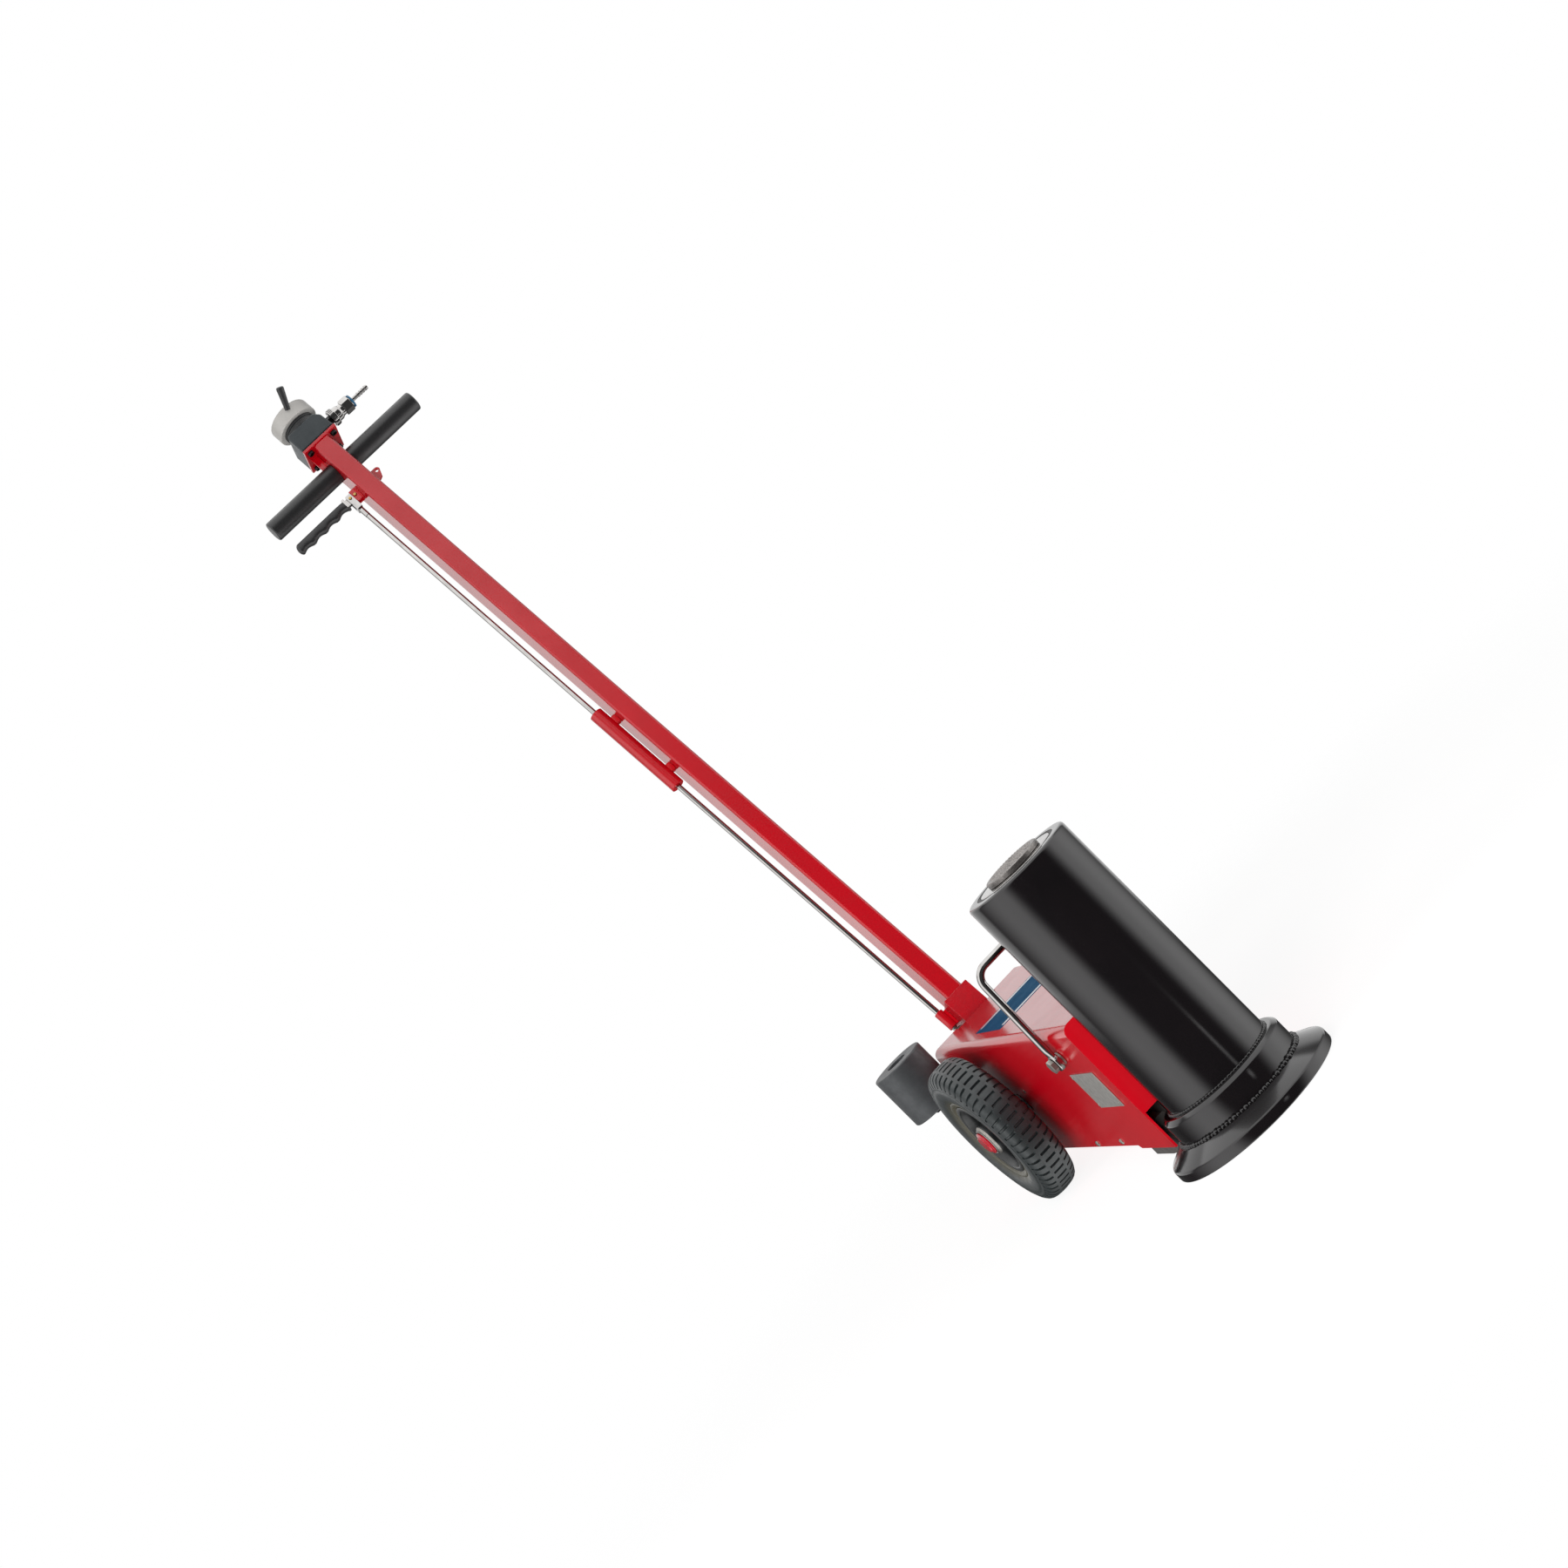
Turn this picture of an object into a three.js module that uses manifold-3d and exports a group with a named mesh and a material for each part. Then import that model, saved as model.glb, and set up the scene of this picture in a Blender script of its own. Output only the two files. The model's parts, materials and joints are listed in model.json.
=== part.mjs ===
// Air-driven hydraulic truck jack: a short-stroke ram on a round foot, with a wheeled
// chassis behind it and a long folding handle that carries the air valve.
// Millimetres, +Z up. The origin is the centre of the foot's underside, on the ram's axis.
// The chassis and the handle lie towards -X; the release lever is on the -Y side.

import * as THREE from 'three';
import { mergeVertices } from 'three/addons/utils/BufferGeometryUtils.js';
import Module from 'manifold-3d';

const wasm = await Module();
wasm.setup();

// ---------------------------------------------------------------- driving dimensions

const GAP = 0.3; // between pieces that seat on each other
const RUNNING = 0.4; // around pieces that slide or turn
const OVERCUT = 5; // how far a cutting tool runs past the face it cuts

// The ram is sized from its rod outwards: rod, cylinder, oil space, tube, collar, foot.
const ROD = { radius: 54.5, socketRadius: 15.3, socketDepth: 32 };
const CYLINDER = { bore: ROD.radius + 2.5, wall: 8 };
const OIL_SPACE = 4;
const TUBE_WALL = 6;
const TUBE = { radius: CYLINDER.bore + CYLINDER.wall + OIL_SPACE + TUBE_WALL, top: 396 };
const COLLAR = { radius: TUBE.radius + 14, height: 36, bevel: 5 };
const CONE = { radius: COLLAR.radius + 4, slope: 26.5 };
const FOOT = { radius: CONE.radius + CONE.slope, rim: 14, height: 28 };
const GLAND = { height: 20, round: 5, spigot: 26, sealWidth: 5, sealDepth: 6 };
const PISTON = { bottom: 34, height: 24, grooveWidth: 8, grooveDepth: 4.6 };
const SADDLE = { radius: 39, height: 8, spigot: 28, bevel: 1.5 };

const CHASSIS = { front: -54, rear: -726, halfWidth: 87, top: 219, sheet: 3 };
const CHASSIS_FOLD = { side: 12, rear: 22 };
const CHASSIS_EDGE = { front: 26, rear: 31, step: -190, flangeBottom: 80 };
const REAR_SLOT = { depth: 36, bottom: 118 };
const DATA_PLATE = { rear: -185, length: 95, bottom: 97, height: 55, thickness: 1.2 };

const PUMP = { rear: -211.5, front: -62, halfWidth: 60, bottom: 29, round: 10 };
PUMP.top = CHASSIS.top - 14;
const PUMP_BASE = { rear: -185, front: -88, bottom: 12, top: 60, round: 16 };
PUMP_BASE.halfWidth = CHASSIS.halfWidth - CHASSIS.sheet - 1;
const PLUNGER = { radius: 8, reach: 12, boreDepth: 80 };
const MOTOR = { radius: 55, wall: 5, length: 140, height: 105, cap: 6 };
const MOTOR_PISTON = { thickness: 12, setback: 8 };
const MUFFLER = { radius: 20, bore: 9, length: 84, height: PUMP.top - 22, neckRadius: 9, neck: 10 };

const WHEEL = { x: -504.3, z: 115.2, y: CHASSIS.halfWidth + 45.9 };
const TYRE = { radius: 114.3, halfWidth: 26.7, bead: 55.6, beadHalfWidth: 19.6 };
const RIM = {
  lip: 58.7, flange: 2, barrel: 5.7, web: 4, webOffset: 8.2, hub: 22.7, hubLength: 52.5,
};
const BEARING = { radius: 14 };
const AXLE = { radius: 10, shoulder: 16 };
const HUB_CAP = { radius: 17.5, height: 5.6 };

const BAIL = { x: -150, z: CHASSIS.top - 39, reach: 146, rod: 5, bend: 18, lean: 6 };
BAIL.halfWidth = CHASSIS.halfWidth + 8;
const BAIL_EYE = { radius: 12, thickness: 8, bolt: 5.7, lap: 1.5 };
const BOLT_HEAD = { radius: 9.5, height: 6.5 };

const HANDLE_LEAN = 19.5; // degrees back from upright, at rest
const HANDLE = { depth: 60, width: 30, wall: 2.5, round: 5, start: 40, end: 1375.7 };
const TUBE_FACE = -HANDLE.width / 2 - GAP; // where a piece seats on the tube's -Y face
const SOCKET = { wall: 6.7, depthWall: 2.7, end: 22, top: 90, flare: 26 };
SOCKET.halfWidth = SOCKET.wall - TUBE_FACE;
SOCKET.halfDepth = HANDLE.depth / 2 + GAP + SOCKET.depthWall;
const HINGE = { x: CHASSIS.rear - 3, z: CHASSIS.top - 60.5, pin: 8, boss: 24 };
const HINGE_HEAD = { radius: 13, height: 5 };
const CHEEK = { thickness: 4, inside: SOCKET.halfWidth + 2 };
CHEEK.outside = CHEEK.inside + CHEEK.thickness;
const CROSS = { front: CHASSIS.rear + 58, thickness: 8, bottom: 128, top: CHASSIS.top - 23 };
const LOCK = { y: TUBE_FACE - 17.2, rod: 4, clearance: 0.5, quadrant: 57.5, plate: 8, notch: 2.6 };
const LOCK_ANGLES = [0, HANDLE_LEAN, 45, 90]; // handle lean at each notch, in degrees
const LOCK_SPREAD = 9; // degrees of quadrant beyond the end notches
const LOCK_GUIDE = { radius: 7, bottom: 62, top: 92 };
const ROD_SLEEVE = { radius: 11, bottom: 597, top: 764, standoff: 14 };

// Heights near the top of the handle are measured from the end of its tube.
const GRIP = { height: -42.2, halfLength: 148.3, radius: 16.5, bar: 11, end: 5, round: 3 };
const LEVER = { height: -92.7, y: TUBE_FACE - 7.5, eye: 5, pin: 2.5, tongue: 6, halfHeight: 6 };
const LEVER_FERRULE = { start: LOCK.y - 8.5, end: LOCK.y - 12.5, halfDepth: 7.5, halfHeight: 8 };
const LEVER_GRIP = { length: 99.1, above: 7.2, below: 11, thickness: 15, fingers: 4 };
const LEVER_BRACKET = { base: 2, lug: 3, reach: 12.2, above: 10, below: 11 };
const CLEVIS = { halfWidth: 4.6, halfDepth: 8, above: 7, below: 21, floor: 17, cone: 16 };
const LUG = { thickness: 5, reach: 18, hole: 2.7, top: -80.7, bottom: -103.7, eye: 5.5 };

const HEAD = { half: 32.6, thickness: 5, gussetReach: 27, gusset: 4 };
const VALVE = { half: 32, height: 36.7, chamfer: 10 };
const NECK = { radius: 28, height: 14.3 };
const KNOB = { radius: 35.8, height: 24, round: 3, dish: 24, dishDepth: 3 };
const STICK = { rise: 12, root: 4.2, tip: 6.2, length: 40, out: 0.62, side: 0.36, up: 0.7 };
const INLET = { height: 29.3, nipple: 7.5, nippleEnd: 41, body: 11.7, waist: 9.5, hex: 13 };
const COUPLER = { collar: 66, waistStart: 61, end: 82, bandEnd: 85, band: 11 };
const SLEEVE_RING = { start: 42, end: 51, radius: 14.6 };
const HOSE_TAIL = { end: 117.5, radius: 3.4, barb: 4.3, barbs: 4 };

const EXTENSION = { bottom: 166, height: 82, radius: 40.5, bevel: 1.5 };
EXTENSION.x = CHASSIS.rear + 26;
EXTENSION.y = -CHASSIS.halfWidth - 47.6;
const EXTENSION_BORE = { radius: 10.5, depth: 38, recess: 16, recessDepth: 4 };
const HOLDER = { shelf: 5, halfWidth: 15, flangeDrop: 40, flange: 4, peg: 10, pegHeight: 34 };

const ROUND = { fine: 36, medium: 24, coarse: 18, small: 12, rod: 8 };

const RED = 0xc4122a;
const BLACK_PAINT = 0x1a1518;
const GREY_STEEL = 0x6f7072;
const CHROME = 0xd6d8da;
const RUBBER_BLACK = 0x333333;

// ---------------------------------------------------------------- shape helpers

const along = {
  x: new THREE.Matrix4().makeRotationZ(-Math.PI / 2),
  y: new THREE.Matrix4(),
  z: new THREE.Matrix4().makeRotationX(Math.PI / 2),
};

function signedVolume(position, index) {
  const a = new THREE.Vector3();
  const b = new THREE.Vector3();
  const c = new THREE.Vector3();
  let sum = 0;
  for (let i = 0; i < index.length; i += 3) {
    a.fromBufferAttribute(position, index[i]);
    b.fromBufferAttribute(position, index[i + 1]);
    c.fromBufferAttribute(position, index[i + 2]);
    sum += a.dot(b.cross(c));
  }
  return sum / 6;
}

// Merges shared corners, drops collapsed triangles and turns the faces outwards.
function closed(geometry) {
  const bare = new THREE.BufferGeometry();
  bare.setAttribute('position', geometry.getAttribute('position').clone());
  if (geometry.index) bare.setIndex(geometry.index.clone());
  const merged = mergeVertices(bare, 1e-4);
  const all = Array.from(merged.index.array);
  const kept = [];
  for (let i = 0; i < all.length; i += 3) {
    const [a, b, c] = all.slice(i, i + 3);
    if (a !== b && b !== c && c !== a) kept.push(a, b, c);
  }
  if (signedVolume(merged.getAttribute('position'), kept) < 0) kept.reverse();
  merged.setIndex(kept);
  return merged;
}

function toSolid(geometry) {
  const shell = closed(geometry);
  const vertProperties = new Float32Array(shell.getAttribute('position').array);
  const triVerts = new Uint32Array(shell.index.array);
  return new wasm.Manifold(new wasm.Mesh({ numProp: 3, vertProperties, triVerts }));
}

function toGeometry(solid) {
  const mesh = solid.getMesh();
  const corners = new Float32Array(mesh.numVert * 3);
  for (let i = 0; i < mesh.numVert; i += 1) {
    for (let k = 0; k < 3; k += 1) corners[i * 3 + k] = mesh.vertProperties[i * mesh.numProp + k];
  }
  const geometry = new THREE.BufferGeometry();
  geometry.setAttribute('position', new THREE.BufferAttribute(corners, 3));
  geometry.setIndex(Array.from(mesh.triVerts));
  return geometry;
}

// Joins the shapes in add, then cuts the shapes in cut out of them.
function carve(add, cut = []) {
  let solid = toSolid(add[0]);
  for (const shape of add.slice(1)) solid = solid.add(toSolid(shape));
  for (const shape of cut) solid = solid.subtract(toSolid(shape));
  return toGeometry(solid);
}

function common(first, second) {
  return toGeometry(toSolid(first).intersect(toSolid(second)));
}

function box([x0, x1], [y0, y1], [z0, z1]) {
  const geometry = new THREE.BoxGeometry(x1 - x0, y1 - y0, z1 - z0);
  return geometry.translate((x0 + x1) / 2, (y0 + y1) / 2, (z0 + z1) / 2);
}

// A cylinder or cone along an axis, from one place on it to another, through a centre point.
function bar(axis, radius, [from, to], centre = [0, 0, 0], sides = ROUND.coarse, endRadius = radius) {
  const geometry = new THREE.CylinderGeometry(endRadius, radius, to - from, sides);
  geometry.translate(0, (from + to) / 2, 0).applyMatrix4(along[axis]);
  return geometry.translate(...centre);
}

// A turned piece: the outline is a list of [radius, place along the axis].
function turned(axis, outline, centre = [0, 0, 0], sides = ROUND.medium) {
  const points = outline.map(([r, h]) => new THREE.Vector2(Math.max(r, 0), h));
  const closes = outline[0][0] > 0 || outline[outline.length - 1][0] > 0;
  if (closes) points.push(points[0].clone());
  const geometry = new THREE.LatheGeometry(points, sides);
  return geometry.applyMatrix4(along[axis]).translate(...centre);
}

function ring(axis, inner, outer, [from, to], centre, sides) {
  return turned(axis, [[inner, from], [outer, from], [outer, to], [inner, to]], centre, sides);
}

function extrude(shape, depth, curveSegments = 8) {
  return new THREE.ExtrudeGeometry(shape, { depth, bevelEnabled: false, curveSegments });
}

// A flat outline in X and Z, carried along Y.
function plateXZ(shape, [y0, y1], curveSegments) {
  return extrude(shape, y1 - y0, curveSegments).rotateX(Math.PI / 2).translate(0, y1, 0);
}

// A flat outline in Y and Z, carried along X.
function plateYZ(shape, [x0, x1], curveSegments) {
  const turn = new THREE.Matrix4().makeBasis(
    new THREE.Vector3(0, 1, 0),
    new THREE.Vector3(0, 0, 1),
    new THREE.Vector3(1, 0, 0),
  );
  return extrude(shape, x1 - x0, curveSegments).applyMatrix4(turn).translate(x0, 0, 0);
}

function roundedRectangle(halfWidth, halfHeight, radius) {
  const shape = new THREE.Shape();
  const w = halfWidth - radius;
  const h = halfHeight - radius;
  shape.absarc(w, h, radius, 0, Math.PI / 2);
  shape.absarc(-w, h, radius, Math.PI / 2, Math.PI);
  shape.absarc(-w, -h, radius, Math.PI, 1.5 * Math.PI);
  shape.absarc(w, -h, radius, 1.5 * Math.PI, 2 * Math.PI);
  shape.closePath();
  return shape;
}

const jack = new THREE.Group();

function piece(parent, name, geometry, color, roughness, metalness) {
  const shell = closed(geometry).toNonIndexed();
  shell.computeVertexNormals();
  const material = new THREE.MeshStandardMaterial({ color, roughness, metalness });
  const mesh = new THREE.Mesh(shell, material);
  mesh.name = name;
  parent.add(mesh);
  return mesh;
}

const redPaint = (parent, name, geometry) => piece(parent, name, geometry, RED, 0.25, 0);
const blackPaint = (parent, name, geometry) => piece(parent, name, geometry, BLACK_PAINT, 0.22, 0.1);
const steel = (parent, name, geometry) => piece(parent, name, geometry, GREY_STEEL, 0.4, 0.8);
const chrome = (parent, name, geometry) => piece(parent, name, geometry, CHROME, 0.12, 1);
const rubber = (parent, name, geometry) => piece(parent, name, geometry, RUBBER_BLACK, 0.8, 0);

// ---------------------------------------------------------------- ram

const collarTop = FOOT.height + GAP + COLLAR.height;
const glandBottom = TUBE.top - GLAND.height;
const sealOuter = ROD.radius + RUNNING + GLAND.sealWidth;

function quarterRound(centreRadius, centreHeight, radius, steps = 3) {
  const points = [];
  for (let i = 0; i <= steps; i += 1) {
    const angle = (i / steps) * (Math.PI / 2);
    points.push([centreRadius + radius * Math.cos(angle), centreHeight + radius * Math.sin(angle)]);
  }
  return points;
}

// The outside of the ram with a gap all round, used to cut what fits against it.
function ramEnvelope(gap) {
  return turned('z', [
    [0, -OVERCUT],
    [FOOT.radius + gap, -OVERCUT],
    [FOOT.radius + gap, FOOT.rim + gap],
    [CONE.radius + gap, FOOT.height + gap],
    [COLLAR.radius + gap, FOOT.height + gap],
    [COLLAR.radius + gap, collarTop + gap],
    [TUBE.radius + gap, collarTop + gap],
    [TUBE.radius + gap, TUBE.top + OVERCUT],
    [0, TUBE.top + OVERCUT],
  ], [0, 0, 0], ROUND.fine);
}

function buildRamHousing() {
  blackPaint(jack, 'foot', turned('z', [
    [0, 0],
    [FOOT.radius, 0],
    [FOOT.radius, FOOT.rim],
    [CONE.radius, FOOT.height],
    [0, FOOT.height],
  ], [0, 0, 0], ROUND.fine));
  blackPaint(jack, 'base_collar', turned('z', [
    [TUBE.radius + GAP, FOOT.height + GAP],
    [COLLAR.radius, FOOT.height + GAP],
    [COLLAR.radius, collarTop - COLLAR.bevel],
    [COLLAR.radius - COLLAR.bevel, collarTop],
    [TUBE.radius + GAP, collarTop],
  ], [0, 0, 0], ROUND.fine));
  const walls = [TUBE.radius - TUBE_WALL, TUBE.radius];
  const tubeSpan = [FOOT.height + GAP, glandBottom - GAP];
  blackPaint(jack, 'ram_tube', ring('z', ...walls, tubeSpan, [0, 0, 0], ROUND.fine));
  blackPaint(jack, 'ram_gland', turned('z', [
    [ROD.radius + RUNNING, glandBottom - GLAND.spigot],
    [TUBE.radius - TUBE_WALL - GAP, glandBottom - GLAND.spigot],
    [TUBE.radius - TUBE_WALL - GAP, glandBottom],
    [TUBE.radius, glandBottom],
    ...quarterRound(TUBE.radius - GLAND.round, TUBE.top - GLAND.round, GLAND.round),
    [sealOuter, TUBE.top],
    [sealOuter, TUBE.top - GLAND.sealDepth],
    [ROD.radius + RUNNING, TUBE.top - GLAND.sealDepth],
  ], [0, 0, 0], ROUND.fine));
  const sealSpan = [TUBE.top - GLAND.sealDepth + GAP, TUBE.top];
  const seal = ring('z', ROD.radius + RUNNING, sealOuter - GAP, sealSpan, [0, 0, 0], ROUND.fine);
  rubber(jack, 'wiper_seal', seal);
  const bore = CYLINDER.bore;
  const cylinderSpan = [FOOT.height + GAP, glandBottom - GLAND.spigot - GAP];
  steel(jack, 'pressure_cylinder', ring('z', bore, bore + CYLINDER.wall, cylinderSpan));
}

function buildRam() {
  const pistonTop = PISTON.bottom + PISTON.height;
  const pistonRadius = CYLINDER.bore - RUNNING;
  const groove = PISTON.bottom + (PISTON.height - PISTON.grooveWidth) / 2;
  const grooveFloor = pistonRadius - PISTON.grooveDepth;
  chrome(jack, 'ram_rod', turned('z', [
    [0, pistonTop + GAP],
    [ROD.radius, pistonTop + GAP],
    [ROD.radius, TUBE.top],
    [ROD.socketRadius, TUBE.top],
    [ROD.socketRadius, TUBE.top - ROD.socketDepth],
    [0, TUBE.top - ROD.socketDepth],
  ], [0, 0, 0], ROUND.fine));
  steel(jack, 'ram_piston', turned('z', [
    [0, PISTON.bottom],
    [pistonRadius, PISTON.bottom],
    [pistonRadius, groove],
    [grooveFloor, groove],
    [grooveFloor, groove + PISTON.grooveWidth],
    [pistonRadius, groove + PISTON.grooveWidth],
    [pistonRadius, pistonTop],
    [0, pistonTop],
  ]));
  const sealSpan = [groove + GAP, groove + PISTON.grooveWidth - GAP];
  rubber(jack, 'piston_seal', ring('z', grooveFloor + GAP, pistonRadius, sealSpan));
  const saddleBottom = TUBE.top + GAP;
  steel(jack, 'saddle', turned('z', [
    [0, TUBE.top - SADDLE.spigot],
    [ROD.socketRadius - GAP, TUBE.top - SADDLE.spigot],
    [ROD.socketRadius - GAP, saddleBottom],
    [SADDLE.radius, saddleBottom],
    [SADDLE.radius, saddleBottom + SADDLE.height - SADDLE.bevel],
    [SADDLE.radius - SADDLE.bevel, saddleBottom + SADDLE.height],
    [0, saddleBottom + SADDLE.height],
  ]));
}

// ---------------------------------------------------------------- chassis

// Where the hinge pin ends on each side, outside its heads.
const hingeEnds = {
  left: CHEEK.outside + GAP + HINGE_HEAD.height,
  right: -CHEEK.outside - GAP - LOCK.plate - GAP - HINGE_HEAD.height,
};

function chassisEnd(inset, bottom) {
  const w = CHASSIS.halfWidth - inset;
  const top = CHASSIS.top - inset;
  const r = CHASSIS_FOLD.side - inset;
  const shape = new THREE.Shape();
  shape.moveTo(-w, bottom);
  shape.lineTo(w, bottom);
  shape.absarc(w - r, top - r, r, 0, Math.PI / 2);
  shape.absarc(-w + r, top - r, r, Math.PI / 2, Math.PI);
  shape.closePath();
  return shape;
}

function chassisSide(inset, bottomFront, bottomRear) {
  const rear = CHASSIS.rear + inset;
  const front = CHASSIS.front - inset;
  const top = CHASSIS.top - inset;
  const r = CHASSIS_FOLD.rear - inset;
  const slope = Math.abs(bottomRear - bottomFront);
  const shape = new THREE.Shape();
  shape.moveTo(rear, bottomRear);
  shape.lineTo(CHASSIS_EDGE.step - slope, bottomRear);
  shape.lineTo(CHASSIS_EDGE.step, bottomFront);
  shape.lineTo(front, bottomFront);
  shape.lineTo(front, top);
  shape.absarc(rear + r, top - r, r, Math.PI / 2, Math.PI);
  shape.closePath();
  return shape;
}

function buildChassisCover() {
  const { front, rear, halfWidth: w, top, sheet } = CHASSIS;
  const lowest = -OVERCUT;
  const outside = common(
    plateYZ(chassisEnd(0, lowest), [rear, front]),
    plateXZ(chassisSide(0, CHASSIS_EDGE.front, CHASSIS_EDGE.rear), [-w, w]),
  );
  const inside = common(
    plateYZ(chassisEnd(sheet, lowest - OVERCUT), [rear + sheet, front - sheet]),
    plateXZ(chassisSide(sheet, lowest, lowest - OVERCUT), [-w, w]),
  );
  const frontOpening = box(
    [front - sheet - OVERCUT, front + OVERCUT],
    [sheet - w, w - sheet],
    [lowest, CHASSIS_EDGE.flangeBottom],
  );
  const rearSlot = box(
    [rear - OVERCUT, rear + REAR_SLOT.depth],
    [hingeEnds.right - RUNNING, hingeEnds.left + RUNNING],
    [REAR_SLOT.bottom, top + OVERCUT],
  );
  const across = [-w - OVERCUT, w + OVERCUT];
  const axleHoles = bar('y', AXLE.radius + GAP, across, [WHEEL.x, 0, WHEEL.z]);
  const bailHoles = bar('y', BAIL_EYE.bolt + GAP, across, [BAIL.x, 0, BAIL.z], ROUND.small);
  const cuts = [inside, frontOpening, rearSlot, axleHoles, bailHoles, ramEnvelope(GAP)];
  redPaint(jack, 'chassis_cover', carve([outside], cuts));
}

function buildDataPlate() {
  const { rear, length, bottom, height, thickness } = DATA_PLATE;
  const face = -CHASSIS.halfWidth - GAP;
  const plate = box([rear, rear + length], [face - thickness, face], [bottom, bottom + height]);
  piece(jack, 'data_plate', plate, 0x9a9c9b, 0.4, 0.9);
}

// ---------------------------------------------------------------- pump and air motor

function buildPump() {
  const block = extrude(roundedRectangle(
    (TUBE.radius - PUMP.rear) / 2,
    PUMP.halfWidth,
    PUMP.round,
  ), PUMP.top - PUMP.bottom, 4);
  block.translate((PUMP.rear - TUBE.radius) / 2 + TUBE.radius, 0, PUMP.bottom);
  const body = common(block, box(
    [PUMP.rear, PUMP.front],
    [-PUMP.halfWidth, PUMP.halfWidth],
    [PUMP.bottom, PUMP.top],
  ));
  const base = extrude(roundedRectangle(
    (PUMP_BASE.front - PUMP_BASE.rear) / 2,
    PUMP_BASE.halfWidth,
    PUMP_BASE.round,
  ), PUMP_BASE.top - PUMP_BASE.bottom, 5);
  base.translate((PUMP_BASE.front + PUMP_BASE.rear) / 2, 0, PUMP_BASE.bottom);
  const plungerBore = bar(
    'x',
    PLUNGER.radius + RUNNING,
    [PUMP.rear - OVERCUT, PUMP.rear + PLUNGER.boreDepth],
    [0, 0, MOTOR.height],
    ROUND.small,
  );
  steel(jack, 'pump_block', carve([body, base], [ramEnvelope(GAP), plungerBore]));
}

function buildAirMotor() {
  const front = PUMP.rear - GAP;
  const rear = front - MOTOR.length;
  const centre = [0, 0, MOTOR.height];
  const bore = MOTOR.radius - MOTOR.wall;
  const barrel = ring('x', bore, MOTOR.radius, [rear, front], centre);
  piece(jack, 'air_motor_barrel', barrel, 0xa9acae, 0.35, 0.9);
  const capFront = rear - GAP;
  const cap = turned('x', [
    [0, capFront - MOTOR.cap],
    [MOTOR.radius - 2, capFront - MOTOR.cap],
    [MOTOR.radius, capFront - MOTOR.cap + 2],
    [MOTOR.radius, capFront],
    [0, capFront],
  ], centre);
  piece(jack, 'air_motor_cap', cap, 0xa9acae, 0.35, 0.9);
  const pistonRear = rear + MOTOR_PISTON.setback;
  const pistonFront = pistonRear + MOTOR_PISTON.thickness;
  steel(jack, 'air_piston', turned('x', [
    [0, pistonRear],
    [bore - RUNNING, pistonRear],
    [bore - RUNNING, pistonFront],
    [PLUNGER.radius, pistonFront],
    [PLUNGER.radius, PUMP.rear + PLUNGER.reach],
    [0, PUMP.rear + PLUNGER.reach],
  ], centre, ROUND.coarse));
  const neckFront = PUMP.rear - GAP;
  const canFront = neckFront - MUFFLER.neck;
  const canRear = canFront - MUFFLER.length;
  const muffler = turned('x', [
    [MUFFLER.bore / 2, canRear],
    [MUFFLER.radius - 3, canRear],
    [MUFFLER.radius, canRear + 3],
    [MUFFLER.radius, canFront - 3],
    [MUFFLER.radius - 3, canFront],
    [MUFFLER.neckRadius, canFront],
    [MUFFLER.neckRadius, neckFront],
    [MUFFLER.bore / 2, neckFront],
  ], [0, 0, MUFFLER.height], ROUND.small);
  piece(jack, 'exhaust_muffler', muffler, 0xa9acae, 0.5, 0.9);
}

// ---------------------------------------------------------------- wheels and axle

function buildAxle() {
  const end = WHEEL.y + RIM.hubLength / 2;
  const shoulderIn = CHASSIS.halfWidth + GAP;
  const shoulderOut = WHEEL.y - RIM.hubLength / 2 - RUNNING;
  steel(jack, 'axle', turned('y', [
    [0, -end],
    [AXLE.radius, -end],
    [AXLE.radius, -shoulderOut],
    [AXLE.shoulder, -shoulderOut],
    [AXLE.shoulder, -shoulderIn],
    [AXLE.radius, -shoulderIn],
    [AXLE.radius, shoulderIn],
    [AXLE.shoulder, shoulderIn],
    [AXLE.shoulder, shoulderOut],
    [AXLE.radius, shoulderOut],
    [AXLE.radius, end],
    [0, end],
  ], [WHEEL.x, 0, WHEEL.z], ROUND.coarse));
}

function tyreOutline() {
  const { radius, halfWidth, bead, beadHalfWidth } = TYRE;
  const side = [
    [bead, beadHalfWidth],
    [RIM.lip + 1, beadHalfWidth],
    [RIM.lip + 7, halfWidth - 3],
    [bead + 26, halfWidth],
    [radius - 13, halfWidth - 1.5],
    [radius - 5, halfWidth - 6],
    [radius - 1, halfWidth - 14],
  ];
  const mirrored = side.map(([r, h]) => [r, -h]);
  return [...mirrored, [radius, 0], ...side.reverse()];
}

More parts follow.
